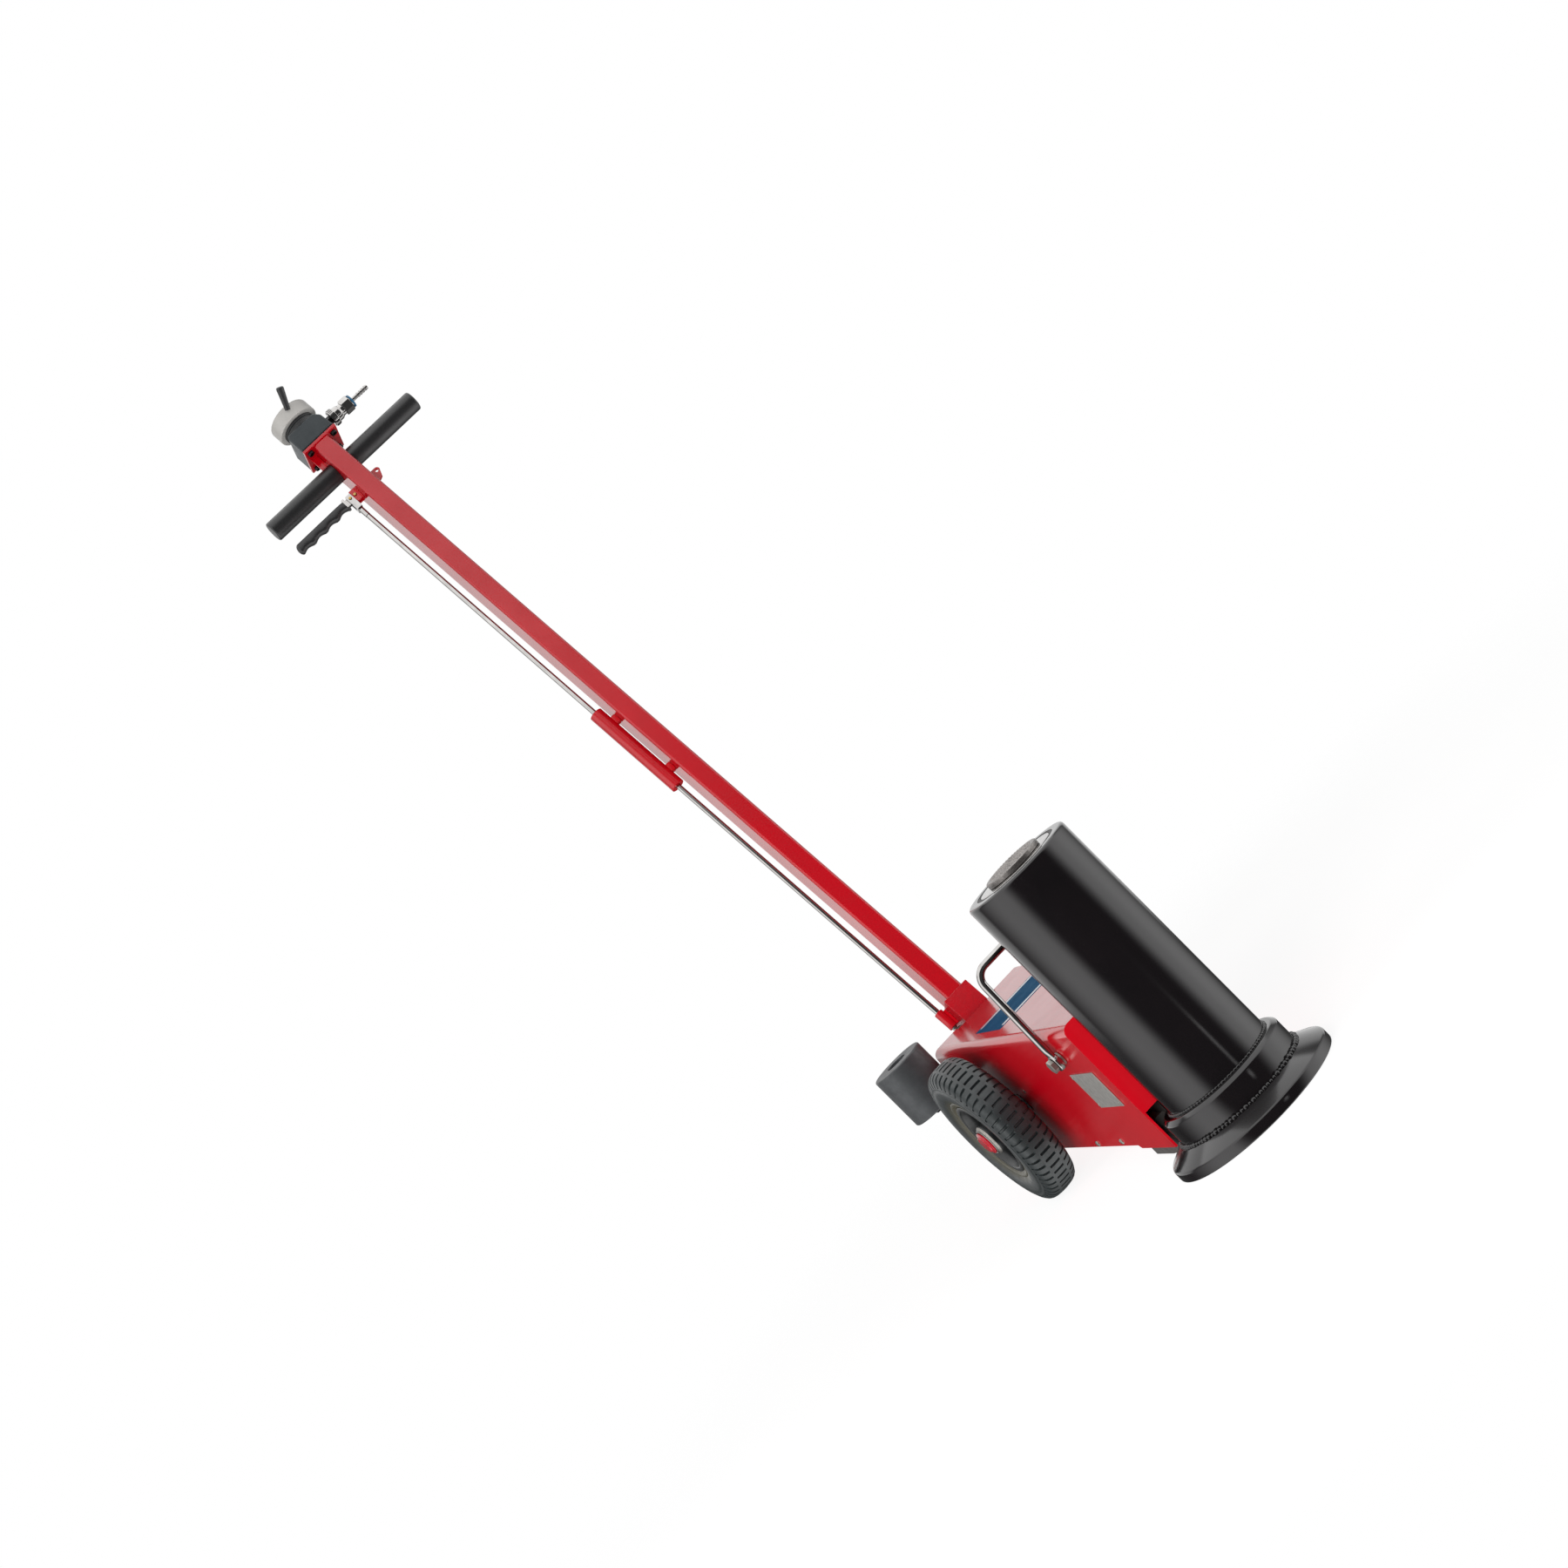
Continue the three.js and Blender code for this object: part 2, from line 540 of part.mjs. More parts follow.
function buildWheel(name, sign) {
  const wheel = new THREE.Group();
  wheel.position.set(WHEEL.x, sign * WHEEL.y, WHEEL.z);
  if (sign < 0) wheel.rotation.z = Math.PI;
  jack.add(wheel);
  const tyre = turned('y', tyreOutline(), [0, 0, 0], ROUND.medium);
  piece(wheel, `${name}_tyre`, tyre, 0x3a4242, 0.85, 0);
  const seat = TYRE.bead - GAP;
  const inner = seat - RIM.barrel;
  const half = TYRE.beadHalfWidth + RIM.flange + GAP;
  const hubEnd = RIM.hubLength / 2;
  const web = [-RIM.webOffset - RIM.web / 2, -RIM.webOffset + RIM.web / 2];
  piece(wheel, `${name}_rim`, turned('y', [
    [BEARING.radius + GAP, -hubEnd],
    [RIM.hub, -hubEnd],
    [RIM.hub, web[0]],
    [inner, web[0]],
    [inner, -half],
    [RIM.lip, -half],
    [RIM.lip, -half + RIM.flange],
    [seat, -half + RIM.flange],
    [seat, half - RIM.flange],
    [RIM.lip, half - RIM.flange],
    [RIM.lip, half],
    [inner, half],
    [inner, web[1]],
    [RIM.hub, web[1]],
    [RIM.hub, hubEnd],
    [BEARING.radius + GAP, hubEnd],
  ]), 0x222426, 0.55, 0);
  const bearing = ring('y', AXLE.radius + RUNNING, BEARING.radius, [-hubEnd, hubEnd]);
  steel(wheel, `${name}_bearing`, bearing);
  const capBottom = hubEnd + GAP;
  redPaint(wheel, `${name}_hub_cap`, turned('y', [
    [0, capBottom],
    [HUB_CAP.radius, capBottom],
    [HUB_CAP.radius, capBottom + HUB_CAP.height * 0.4],
    [HUB_CAP.radius * 0.75, capBottom + HUB_CAP.height * 0.85],
    [0, capBottom + HUB_CAP.height],
  ], [0, 0, 0], ROUND.coarse));
}

// ---------------------------------------------------------------- carrying bail

function circleShape(radius) {
  return new THREE.Shape().absarc(0, 0, radius, 0, 2 * Math.PI);
}

function swept(path, radius, steps) {
  const curveSegments = ROUND.rod / 2;
  return new THREE.ExtrudeGeometry(circleShape(radius), { steps, extrudePath: path, curveSegments });
}

function buildBail() {
  const bail = new THREE.Group();
  bail.position.set(BAIL.x, 0, BAIL.z);
  bail.rotation.y = THREE.MathUtils.degToRad(BAIL.lean);
  jack.add(bail);
  const side = BAIL.halfWidth;
  const top = BAIL.reach;
  const bend = BAIL.bend;
  const start = BAIL_EYE.radius - BAIL_EYE.lap;
  const at = (y, z) => new THREE.Vector3(0, y, z);
  const path = new THREE.CurvePath();
  path.add(new THREE.LineCurve3(at(-side, start), at(-side, top - bend)));
  path.add(new THREE.QuadraticBezierCurve3(at(-side, top - bend), at(-side, top), at(bend - side, top)));
  path.add(new THREE.LineCurve3(at(bend - side, top), at(side - bend, top)));
  path.add(new THREE.QuadraticBezierCurve3(at(side - bend, top), at(side, top), at(side, top - bend)));
  path.add(new THREE.LineCurve3(at(side, top - bend), at(side, start)));
  const add = [swept(path, BAIL.rod, 32)];
  const cut = [];
  const half = BAIL_EYE.thickness / 2;
  for (const sign of [-1, 1]) {
    const span = [sign * side - half, sign * side + half];
    add.push(bar('y', BAIL_EYE.radius, span, [0, 0, 0], ROUND.coarse));
    const through = [span[0] - OVERCUT, span[1] + OVERCUT];
    cut.push(bar('y', BAIL_EYE.bolt + RUNNING, through, [0, 0, 0], ROUND.small));
  }
  chrome(bail, 'carry_bail', carve(add, cut));
}

function buildBailBolt(name, sign) {
  const eyeIn = BAIL.halfWidth - BAIL_EYE.thickness / 2;
  const eyeOut = BAIL.halfWidth + BAIL_EYE.thickness / 2;
  const spacer = [CHASSIS.halfWidth + GAP, eyeIn - GAP];
  const head = [eyeOut + GAP, eyeOut + GAP + BOLT_HEAD.height];
  const inside = CHASSIS.halfWidth - CHASSIS.sheet - GAP;
  const nut = [inside - BOLT_HEAD.height, inside];
  const bolt = carve([
    bar('y', BAIL_EYE.bolt, [nut[0] + 1, head[0] + 1], [0, 0, 0], ROUND.small),
    bar('y', BOLT_HEAD.radius, spacer, [0, 0, 0], ROUND.coarse),
    bar('y', BOLT_HEAD.radius, head, [0, 0, 0], 6),
    bar('y', BOLT_HEAD.radius, nut, [0, 0, 0], 6),
  ]);
  const mesh = chrome(jack, name, bolt);
  mesh.position.set(BAIL.x, 0, BAIL.z);
  if (sign < 0) mesh.rotation.z = Math.PI;
}

// ---------------------------------------------------------------- handle hinge and lock

function buildHingeBracket() {
  const { inside, outside } = CHEEK;
  const crossRear = CROSS.front - CROSS.thickness;
  const cheek = new THREE.Shape();
  cheek.moveTo(crossRear + 1, CROSS.bottom);
  cheek.lineTo(crossRear + 1, CROSS.top);
  cheek.absarc(HINGE.x, HINGE.z, HINGE.boss, Math.PI / 2, 1.5 * Math.PI);
  cheek.closePath();
  const reach = CHASSIS.halfWidth - CHASSIS.sheet - GAP;
  const add = [box([crossRear, CROSS.front], [-reach, reach], [CROSS.bottom, CROSS.top])];
  for (const span of [[inside, outside], [-outside, -inside]]) add.push(plateXZ(cheek, span, 12));
  const through = [-outside - OVERCUT, outside + OVERCUT];
  const bore = bar('y', HINGE.pin + GAP, through, [HINGE.x, 0, HINGE.z], ROUND.small);
  redPaint(jack, 'hinge_bracket', carve(add, [bore]));
}

function buildQuadrant() {
  const toAngle = (lean) => THREE.MathUtils.degToRad(90 + lean);
  const first = toAngle(LOCK_ANGLES[0] - LOCK_SPREAD);
  const last = toAngle(LOCK_ANGLES[LOCK_ANGLES.length - 1] + LOCK_SPREAD);
  const sector = new THREE.Shape();
  sector.absarc(HINGE.x, HINGE.z, LOCK.quadrant, first, last);
  sector.absarc(HINGE.x, HINGE.z, HINGE.boss - 4, last, first + 2 * Math.PI);
  sector.closePath();
  const outer = -CHEEK.outside - GAP;
  const span = [outer - LOCK.plate, outer];
  const through = [span[0] - OVERCUT, span[1] + OVERCUT];
  const cut = [bar('y', HINGE.pin + GAP, through, [HINGE.x, 0, HINGE.z], ROUND.small)];
  const notchHalf = LOCK.rod + GAP;
  for (const lean of LOCK_ANGLES) {
    const notch = box(
      [-notchHalf, notchHalf],
      through,
      [LOCK.quadrant - LOCK.notch, LOCK.quadrant + OVERCUT],
    );
    notch.rotateY(-THREE.MathUtils.degToRad(lean)).translate(HINGE.x, 0, HINGE.z);
    cut.push(notch);
  }
  steel(jack, 'lock_quadrant', carve([plateXZ(sector, span, 24)], cut));
}

function buildHingePin() {
  const { left, right } = hingeEnds;
  const { radius, height } = HINGE_HEAD;
  const pin = turned('y', [
    [0, right],
    [radius, right],
    [radius, right + height],
    [HINGE.pin, right + height],
    [HINGE.pin, left - height],
    [radius, left - height],
    [radius, left],
    [0, left],
  ], [HINGE.x, 0, HINGE.z], ROUND.small);
  steel(jack, 'hinge_pin', pin);
}

// ---------------------------------------------------------------- handle
// The handle's own frame: its origin is on the hinge axis, +Z runs up the handle and
// +X faces the ram.

const handle = new THREE.Group();
handle.position.set(HINGE.x, 0, HINGE.z);
handle.rotation.y = -THREE.MathUtils.degToRad(HANDLE_LEAN);
jack.add(handle);

// The head's frame is the handle's, moved up to the end of the tube.
const head = new THREE.Group();
head.position.set(0, 0, HANDLE.end);
handle.add(head);

function buildHandleTube() {
  const { depth, width, wall, round, start, end } = HANDLE;
  const outer = extrude(roundedRectangle(depth / 2, width / 2, round), end - start, 4);
  const bore = roundedRectangle(depth / 2 - wall, width / 2 - wall, round - wall);
  const inner = extrude(bore, end - start + 2 * OVERCUT, 4);
  outer.translate(0, 0, start);
  inner.translate(0, 0, start - OVERCUT);
  const grip = bar('y', GRIP.bar + GAP, [-width, width], [0, 0, end + GRIP.height]);
  redPaint(handle, 'handle_tube', carve([outer], [inner, grip]));
}

function buildHandleSocket() {
  const { halfWidth, halfDepth, end, top, flare } = SOCKET;
  const outline = new THREE.Shape();
  outline.moveTo(halfDepth, flare);
  outline.lineTo(halfDepth, top);
  outline.lineTo(-halfDepth, top);
  outline.lineTo(-halfDepth, flare);
  outline.absarc(0, 0, end, Math.PI, 2 * Math.PI);
  outline.closePath();
  const seat = roundedRectangle(HANDLE.depth / 2 + GAP, HANDLE.width / 2 + GAP, HANDLE.round);
  const pocket = extrude(seat, top, 4).translate(0, 0, HANDLE.start - GAP);
  const pinBore = bar('y', HINGE.pin + RUNNING, [-halfWidth * 2, halfWidth * 2], [0, 0, 0], ROUND.small);
  const body = plateXZ(outline, [-halfWidth, halfWidth], 12);
  redPaint(handle, 'handle_socket', carve([body], [pocket, pinBore]));
}

function buildLockGuides() {
  const { radius, bottom, top } = LOCK_GUIDE;
  const centre = [0, LOCK.y, 0];
  const rodBore = (from, to) => bar('z', LOCK.rod + RUNNING, [from, to], centre, ROUND.small);
  const guideWeb = box([-radius / 2, radius / 2], [LOCK.y, -SOCKET.halfWidth - GAP], [bottom, top - 4]);
  redPaint(handle, 'lock_guide', carve(
    [bar('z', radius, [bottom, top], centre, ROUND.small), guideWeb],
    [rodBore(bottom - OVERCUT, top + OVERCUT)],
  ));
  const sleeve = ROD_SLEEVE;
  const add = [bar('z', sleeve.radius, [sleeve.bottom, sleeve.top], centre, ROUND.coarse)];
  for (const place of [sleeve.bottom + 2 * sleeve.standoff, sleeve.top - 2 * sleeve.standoff]) {
    const span = [place - sleeve.standoff / 2, place + sleeve.standoff / 2];
    add.push(box([-sleeve.radius / 2, sleeve.radius / 2], [LOCK.y, TUBE_FACE], span));
  }
  const sleeveBore = rodBore(sleeve.bottom - OVERCUT, sleeve.top + OVERCUT);
  redPaint(handle, 'rod_sleeve', carve(add, [sleeveBore]));
}

function buildGrips() {
  const { height, halfLength, radius, end, round } = GRIP;
  const barEnd = halfLength - end - GAP;
  steel(head, 'grip_bar', bar('y', GRIP.bar, [-barEnd, barEnd], [0, 0, height]));
  for (const [name, sign] of [['grip_left', 1], ['grip_right', -1]]) {
    const grip = turned('y', [
      [GRIP.bar + GAP, -TUBE_FACE],
      [radius, -TUBE_FACE],
      ...quarterRound(radius - round, halfLength - round, round),
      [0, halfLength],
      [0, halfLength - end],
      [GRIP.bar + GAP, halfLength - end],
    ], [0, 0, 0], ROUND.coarse);
    const mesh = rubber(head, name, grip);
    mesh.position.set(0, 0, height);
    if (sign < 0) mesh.rotation.z = Math.PI;
  }
}

// ---------------------------------------------------------------- release lever and lock rod

function buildLeverBracket() {
  const { base, lug, reach, above, below } = LEVER_BRACKET;
  const [bottom, top] = [LEVER.height - below, LEVER.height + above];
  const inside = LEVER.tongue / 2 + RUNNING;
  const face = TUBE_FACE - base;
  const pinHole = LEVER.pin + GAP;
  const add = [box([-inside - lug, inside + lug], [face, TUBE_FACE], [bottom, top])];
  for (const sign of [-1, 1]) {
    const near = sign < 0 ? [-inside - lug, -inside] : [inside, inside + lug];
    add.push(box(near, [TUBE_FACE - reach, face + 1], [bottom, top]));
  }
  const through = [-inside - lug - OVERCUT, inside + lug + OVERCUT];
  const hole = bar('x', pinHole, through, [0, LEVER.y, LEVER.height], ROUND.small);
  redPaint(head, 'lever_bracket', carve(add, [hole]));
  const pinHalf = inside + lug + 2;
  const pin = bar('x', LEVER.pin, [-pinHalf, pinHalf], [0, LEVER.y, LEVER.height], ROUND.small);
  piece(head, 'lever_pivot_pin', pin, 0xb08d4f, 0.3, 1);
}

function buildHookLug() {
  const { thickness, reach, hole, top, bottom, eye } = LUG;
  const wall = -TUBE_FACE;
  const outline = new THREE.Shape();
  outline.moveTo(wall, bottom);
  outline.lineTo(wall + reach - eye, bottom + eye);
  outline.absarc(wall + reach - eye, top - eye, eye, 0, Math.PI / 2);
  outline.lineTo(wall, top);
  outline.closePath();
  const half = thickness / 2;
  const plate = plateYZ(outline, [-half, half], 6);
  const through = [-thickness, thickness];
  const eyeHole = bar('x', hole, through, [0, wall + reach - eye, top - eye], ROUND.small);
  redPaint(head, 'hook_lug', carve([plate], [eyeHole]));
}

function buildReleaseLever() {
  const { y, height: s, eye, pin, tongue, halfHeight } = LEVER;
  const half = tongue / 2;
  const outline = new THREE.Shape();
  outline.moveTo(LEVER_FERRULE.start - 1, s + halfHeight);
  outline.lineTo(LEVER_FERRULE.start - 1, s - halfHeight);
  outline.lineTo(LOCK.y, s - halfHeight);
  outline.absarc(y, s, eye, 1.5 * Math.PI, 2.5 * Math.PI);
  outline.lineTo(LOCK.y, s + halfHeight);
  outline.closePath();
  const across = [-half - OVERCUT, half + OVERCUT];
  const pinRise = pin + 2 * RUNNING;
  const ferrule = LEVER_FERRULE;
  chrome(head, 'lever_arm', carve([
    plateYZ(outline, [-half, half], 8),
    box(
      [-ferrule.halfDepth, ferrule.halfDepth],
      [ferrule.end, ferrule.start],
      [s - ferrule.halfHeight, s + ferrule.halfHeight],
    ),
  ], [
    bar('x', pin + GAP, across, [0, y, s], ROUND.small),
    bar('x', pinRise, across, [0, LOCK.y, s], ROUND.small),
  ]));
}

function buildLeverGrip() {
  const { length, above, below, thickness, fingers } = LEVER_GRIP;
  const [bottom, top] = [LEVER.height - below, LEVER.height + above];
  const start = LEVER_FERRULE.end - GAP;
  const end = start - length;
  const pitch = length / fingers;
  const outline = new THREE.Shape();
  outline.moveTo(start, top - 1);
  outline.lineTo(start, bottom + 2);
  for (let i = 0; i < fingers; i += 1) {
    const from = start - i * pitch;
    const crest = i === fingers - 1 ? bottom - 1 : bottom;
    outline.quadraticCurveTo(from - pitch * 0.45, bottom + 6, from - pitch * 0.85, crest);
    if (i < fingers - 1) outline.lineTo(from - pitch, bottom + 1.5);
  }
  outline.quadraticCurveTo(end, bottom, end, (top + bottom) / 2);
  outline.quadraticCurveTo(end, top, end + 7, top);
  outline.closePath();
  const half = thickness / 2;
  rubber(head, 'lever_grip', plateYZ(outline, [-half, half], 5));
}

function buildLockRod() {
  const { halfWidth, halfDepth, above, below, cone } = CLEVIS;
  const [bottom, top] = [LEVER.height - below, LEVER.height + above];
  const floor = LEVER.height - CLEVIS.floor;
  const centre = [0, LOCK.y, 0];
  const tip = LOCK.quadrant + LOCK.clearance;
  const rodTop = HANDLE.end + bottom - cone - GAP;
  chrome(handle, 'lock_rod', bar('z', LOCK.rod, [tip, rodTop], centre, ROUND.small));
  const slotHalf = LEVER.tongue / 2 + RUNNING;
  const acrossY = [LOCK.y - halfWidth, LOCK.y + halfWidth];
  const through = [-halfDepth - OVERCUT, halfDepth + OVERCUT];
  chrome(head, 'rod_clevis', carve([
    bar('z', LOCK.rod + GAP, [bottom - cone, bottom + 1], centre, ROUND.small, halfWidth),
    box([-halfDepth, halfDepth], acrossY, [bottom, top]),
  ], [
    box([-slotHalf, slotHalf], [acrossY[0] - 1, acrossY[1] + 1], [floor, top + 1]),
    bar('x', LEVER.pin + GAP, through, [0, LOCK.y, LEVER.height], ROUND.small),
  ]));
  const pinHalf = halfDepth + 1.5;
  const pin = bar('x', LEVER.pin, [-pinHalf, pinHalf], [0, LOCK.y, LEVER.height], ROUND.small);
  piece(head, 'clevis_pin', pin, 0xb08d4f, 0.3, 1);
}

// ---------------------------------------------------------------- valve head

function buildHeadPlate() {
  const { half, thickness, gussetReach, gusset } = HEAD;
  const gripTop = GRIP.height + GRIP.radius + GAP;
  const plate = box([-half, half], [-half, half], [GAP, GAP + thickness]);
  const web = box([-gusset / 2, gusset / 2], [-gussetReach, TUBE_FACE], [gripTop, 2 * GAP]);
  redPaint(head, 'head_plate', carve([plate, web]));
}

const valveBottom = HEAD.thickness + 2 * GAP;
const valveTop = valveBottom + VALVE.height;
const neckTop = valveTop + GAP + NECK.height;
const knobBottom = neckTop + RUNNING;

function buildValve() {
  const { half, chamfer } = VALVE;
  const [bottom, top] = [valveBottom, valveTop];
  const outline = new THREE.Shape();
  outline.moveTo(-half, bottom);
  outline.lineTo(half, bottom);
  outline.lineTo(half - 2, top - chamfer);
  outline.lineTo(half - chamfer, top);
  outline.lineTo(-half + 3, top);
  outline.lineTo(-half, top - 6);
  outline.closePath();
  piece(head, 'valve_body', plateYZ(outline, [-half, half]), 0x3a4044, 0.5, 0.1);
  const neck = bar('z', NECK.radius, [top + GAP, neckTop], [0, 0, 0], ROUND.medium);
  piece(head, 'valve_neck', neck, 0x1b1c1e, 0.6, 0);
}

function buildKnob() {
  const { radius, height, round, dish, dishDepth } = KNOB;
  const bottom = knobBottom;
  const top = bottom + height;
  const knob = turned('z', [
    [0, bottom],
    [radius, bottom],
    ...quarterRound(radius - round, top - round, round),
    [dish, top],
    [dish - 2, top - dishDepth],
    [0, top - dishDepth],
  ]);
  const reach = Math.sqrt(radius ** 2 - STICK.root ** 2);
  const direction = new THREE.Vector3(STICK.out, STICK.side, STICK.up).normalize();
  const stick = new THREE.CylinderGeometry(STICK.tip, STICK.root, STICK.length, ROUND.small);
  stick.translate(0, STICK.length / 2, 0);
  const lift = new THREE.Quaternion().setFromUnitVectors(new THREE.Vector3(0, 1, 0), direction);
  stick.applyQuaternion(lift).translate(reach - STICK.root / 2, 0, bottom + STICK.rise);
  const wall = bar('z', radius + GAP, [bottom - OVERCUT, top + GAP], [0, 0, 0], ROUND.medium);
  piece(head, 'control_knob', knob, 0xb5b3b0, 0.55, 0);
  piece(head, 'knob_stick', carve([stick], [wall]), 0x2b2b2c, 0.6, 0);
}

function buildAirInlet() {
  const centre = [0, 0, INLET.height];
  const nipple = bar('y', INLET.nipple, [VALVE.half + GAP, INLET.nippleEnd], centre, 6);
  chrome(head, 'inlet_nipple', nipple);
  const start = INLET.nippleEnd + GAP;
  const { collar, waistStart, end, bandEnd, band } = COUPLER;
  chrome(head, 'coupler_body', carve([
    bar('y', INLET.body, [start, waistStart], centre),
    bar('y', INLET.waist, [waistStart - 1, collar + 1], centre),
    bar('y', INLET.hex, [collar, end], centre, 6),
  ]));
  const ringSpan = [end + GAP, bandEnd];
  piece(head, 'coupler_band', bar('y', band, ringSpan, centre), 0x3f7fa8, 0.5, 0);
  const tail = [[0, bandEnd + GAP], [HOSE_TAIL.radius, bandEnd + GAP]];
  const first = bandEnd + 12;
  const pitch = (HOSE_TAIL.end - first) / HOSE_TAIL.barbs;
  for (let i = 0; i < HOSE_TAIL.barbs; i += 1) {
    tail.push([HOSE_TAIL.barb, first + i * pitch]);
    tail.push([HOSE_TAIL.radius, first + (i + 0.9) * pitch]);
  }
  tail.push([0, HOSE_TAIL.end]);
  chrome(head, 'hose_tail', turned('y', tail, centre, ROUND.small));
  const inner = INLET.body + RUNNING;
  const span = [SLEEVE_RING.start, SLEEVE_RING.end];
  chrome(head, 'coupler_sleeve', ring('y', inner, SLEEVE_RING.radius, span, centre));
}

// ---------------------------------------------------------------- saddle extension

function buildExtension() {
  const { x, y, bottom, height, radius, bevel } = EXTENSION;
  const bore = EXTENSION_BORE;
  const top = bottom + height;
  piece(jack, 'saddle_extension', turned('z', [
    [bore.radius, bottom],
    [radius - bevel, bottom],
    [radius, bottom + bevel],
    [radius, top - bevel],
    [radius - bevel, top],
    [bore.recess, top],
    [bore.recess, top - bore.recessDepth],
    [0, top - bore.recessDepth],
    [0, bottom + bore.depth],
    [bore.radius, bottom + bore.depth],
  ], [x, y, 0]), 0x4a4a4a, 0.6, 0.3);
  const shelfTop = bottom - GAP;
  const shelf = [shelfTop - HOLDER.shelf, shelfTop];
  const wall = -CHASSIS.halfWidth - GAP;
  const sides = [x - HOLDER.halfWidth, x + HOLDER.halfWidth];
  blackPaint(jack, 'extension_holder', carve([
    box(sides, [y - HOLDER.peg, wall], shelf),
    box(sides, [wall - HOLDER.flange, wall], [shelf[0] - HOLDER.flangeDrop, shelf[1]]),
    bar('z', HOLDER.peg, [shelf[0], shelfTop + HOLDER.pegHeight], [x, y, 0]),
  ]));
}

// ---------------------------------------------------------------- assembly

buildRamHousing();
buildRam();
buildChassisCover();
buildDataPlate();
buildPump();
buildAirMotor();
buildAxle();
buildWheel('left_wheel', 1);
buildWheel('right_wheel', -1);
buildBail();
buildBailBolt('bail_bolt_left', 1);
buildBailBolt('bail_bolt_right', -1);
buildHingeBracket();
buildQuadrant();
buildHingePin();
buildHandleTube();
buildHandleSocket();
buildLockGuides();
buildGrips();
buildLeverBracket();
buildHookLug();
buildReleaseLever();
buildLeverGrip();
buildLockRod();
buildHeadPlate();
buildValve();
buildKnob();
buildAirInlet();
buildExtension();

export default jack;
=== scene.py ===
# %% [markdown]
# # An air-driven truck jack
# A jack like this lifts one axle of a lorry. Air from the workshop line drives a small pump
# under the red cover, the pump pushes oil into the black ram, and the ram rises. The long
# handle folds down for reaching under the vehicle, and its lever frees the lock at the hinge.
#
# The moving frame comes ready in model.glb and model.json, so the script loads it first and then dresses it.
# All sizes below are written in millimetres and turned into metres in one place.

# %% Load the frame
import json
import math

import bmesh
import bpy
from mathutils import Matrix, Vector


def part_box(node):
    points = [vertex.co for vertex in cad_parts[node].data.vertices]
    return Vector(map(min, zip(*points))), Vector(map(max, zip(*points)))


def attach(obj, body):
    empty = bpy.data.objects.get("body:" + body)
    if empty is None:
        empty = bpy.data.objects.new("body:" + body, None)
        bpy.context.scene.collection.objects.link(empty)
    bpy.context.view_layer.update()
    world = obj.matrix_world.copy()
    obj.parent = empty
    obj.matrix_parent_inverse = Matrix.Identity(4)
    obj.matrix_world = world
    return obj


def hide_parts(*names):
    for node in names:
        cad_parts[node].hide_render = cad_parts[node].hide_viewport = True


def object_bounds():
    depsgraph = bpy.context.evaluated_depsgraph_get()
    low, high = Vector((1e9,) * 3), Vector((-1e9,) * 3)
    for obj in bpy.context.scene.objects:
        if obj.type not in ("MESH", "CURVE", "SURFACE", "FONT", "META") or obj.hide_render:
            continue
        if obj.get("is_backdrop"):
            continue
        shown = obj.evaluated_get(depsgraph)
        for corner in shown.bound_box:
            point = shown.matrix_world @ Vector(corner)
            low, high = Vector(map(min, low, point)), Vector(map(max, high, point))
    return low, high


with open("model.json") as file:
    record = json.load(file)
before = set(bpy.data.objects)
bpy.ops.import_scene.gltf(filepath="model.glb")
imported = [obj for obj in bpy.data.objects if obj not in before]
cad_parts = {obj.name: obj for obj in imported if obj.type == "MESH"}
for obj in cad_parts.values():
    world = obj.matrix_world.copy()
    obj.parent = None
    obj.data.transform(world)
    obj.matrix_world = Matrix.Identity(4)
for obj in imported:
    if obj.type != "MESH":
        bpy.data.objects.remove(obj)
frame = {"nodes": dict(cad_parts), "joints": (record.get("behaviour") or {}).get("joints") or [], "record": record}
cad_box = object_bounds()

MM = 0.001
body_of = {node: body
           for body, nodes in frame["record"]["behaviour"]["bodies"].items() for node in nodes}
joint = {each["name"]: each for each in frame["joints"]}

# %% [markdown]
# ## Camera
# The jack is seen from in front of the ram, a little to the lever's side, with a long lens
# and the camera rolled an eighth of a turn, so the tall handle runs corner to corner.
# Writing the three camera axes as the columns of a matrix sets the roll with no angles.

# %% Camera
view_right = Vector((0.2138, 0.9769, 0.0)).normalized()
view_forward = Vector((-0.9762, 0.2137, -0.0383)).normalized()
view_up = view_right.cross(view_forward).normalized()
roll_right = (view_right - view_up).normalized()
roll_up = (view_right + view_up).normalized()
CAMERA_PLACE = Vector((3.4184, -0.8717, 0.7852))
FOCAL_LENGTH, SENSOR_WIDTH, NEAR_CLIP = 70.69, 36.0, 0.01
lens = bpy.data.cameras.new("camera")
lens.lens, lens.sensor_width, lens.clip_start = FOCAL_LENGTH, SENSOR_WIDTH, NEAR_CLIP
camera = bpy.data.objects.new("camera", lens)
camera.matrix_world = Matrix((
    (roll_right.x, roll_up.x, -view_forward.x, CAMERA_PLACE.x),
    (roll_right.y, roll_up.y, -view_forward.y, CAMERA_PLACE.y),
    (roll_right.z, roll_up.z, -view_forward.z, CAMERA_PLACE.z),
    (0, 0, 0, 1)))
bpy.context.scene.collection.objects.link(camera)
bpy.context.scene.camera = camera
print("camera at", tuple(round(v, 3) for v in camera.location))

# %% [markdown]
# ## Studio
# Gloss paint shows its surroundings, so the studio is designed as a reflection. White walls
# stand at both sides, a white ceiling starts forty degrees up, the back wall is white above
# the floor only, and the space behind the camera stays dark. That gives the black ram two
# pale strips with a dark centre, and it keeps the cover's side a deep red. Light that falls
# on dull surfaces comes evenly from all round, and the camera itself sees plain white. Two
# area lamps model the dull surfaces, and a third, which only gloss shows, draws a thin streak.

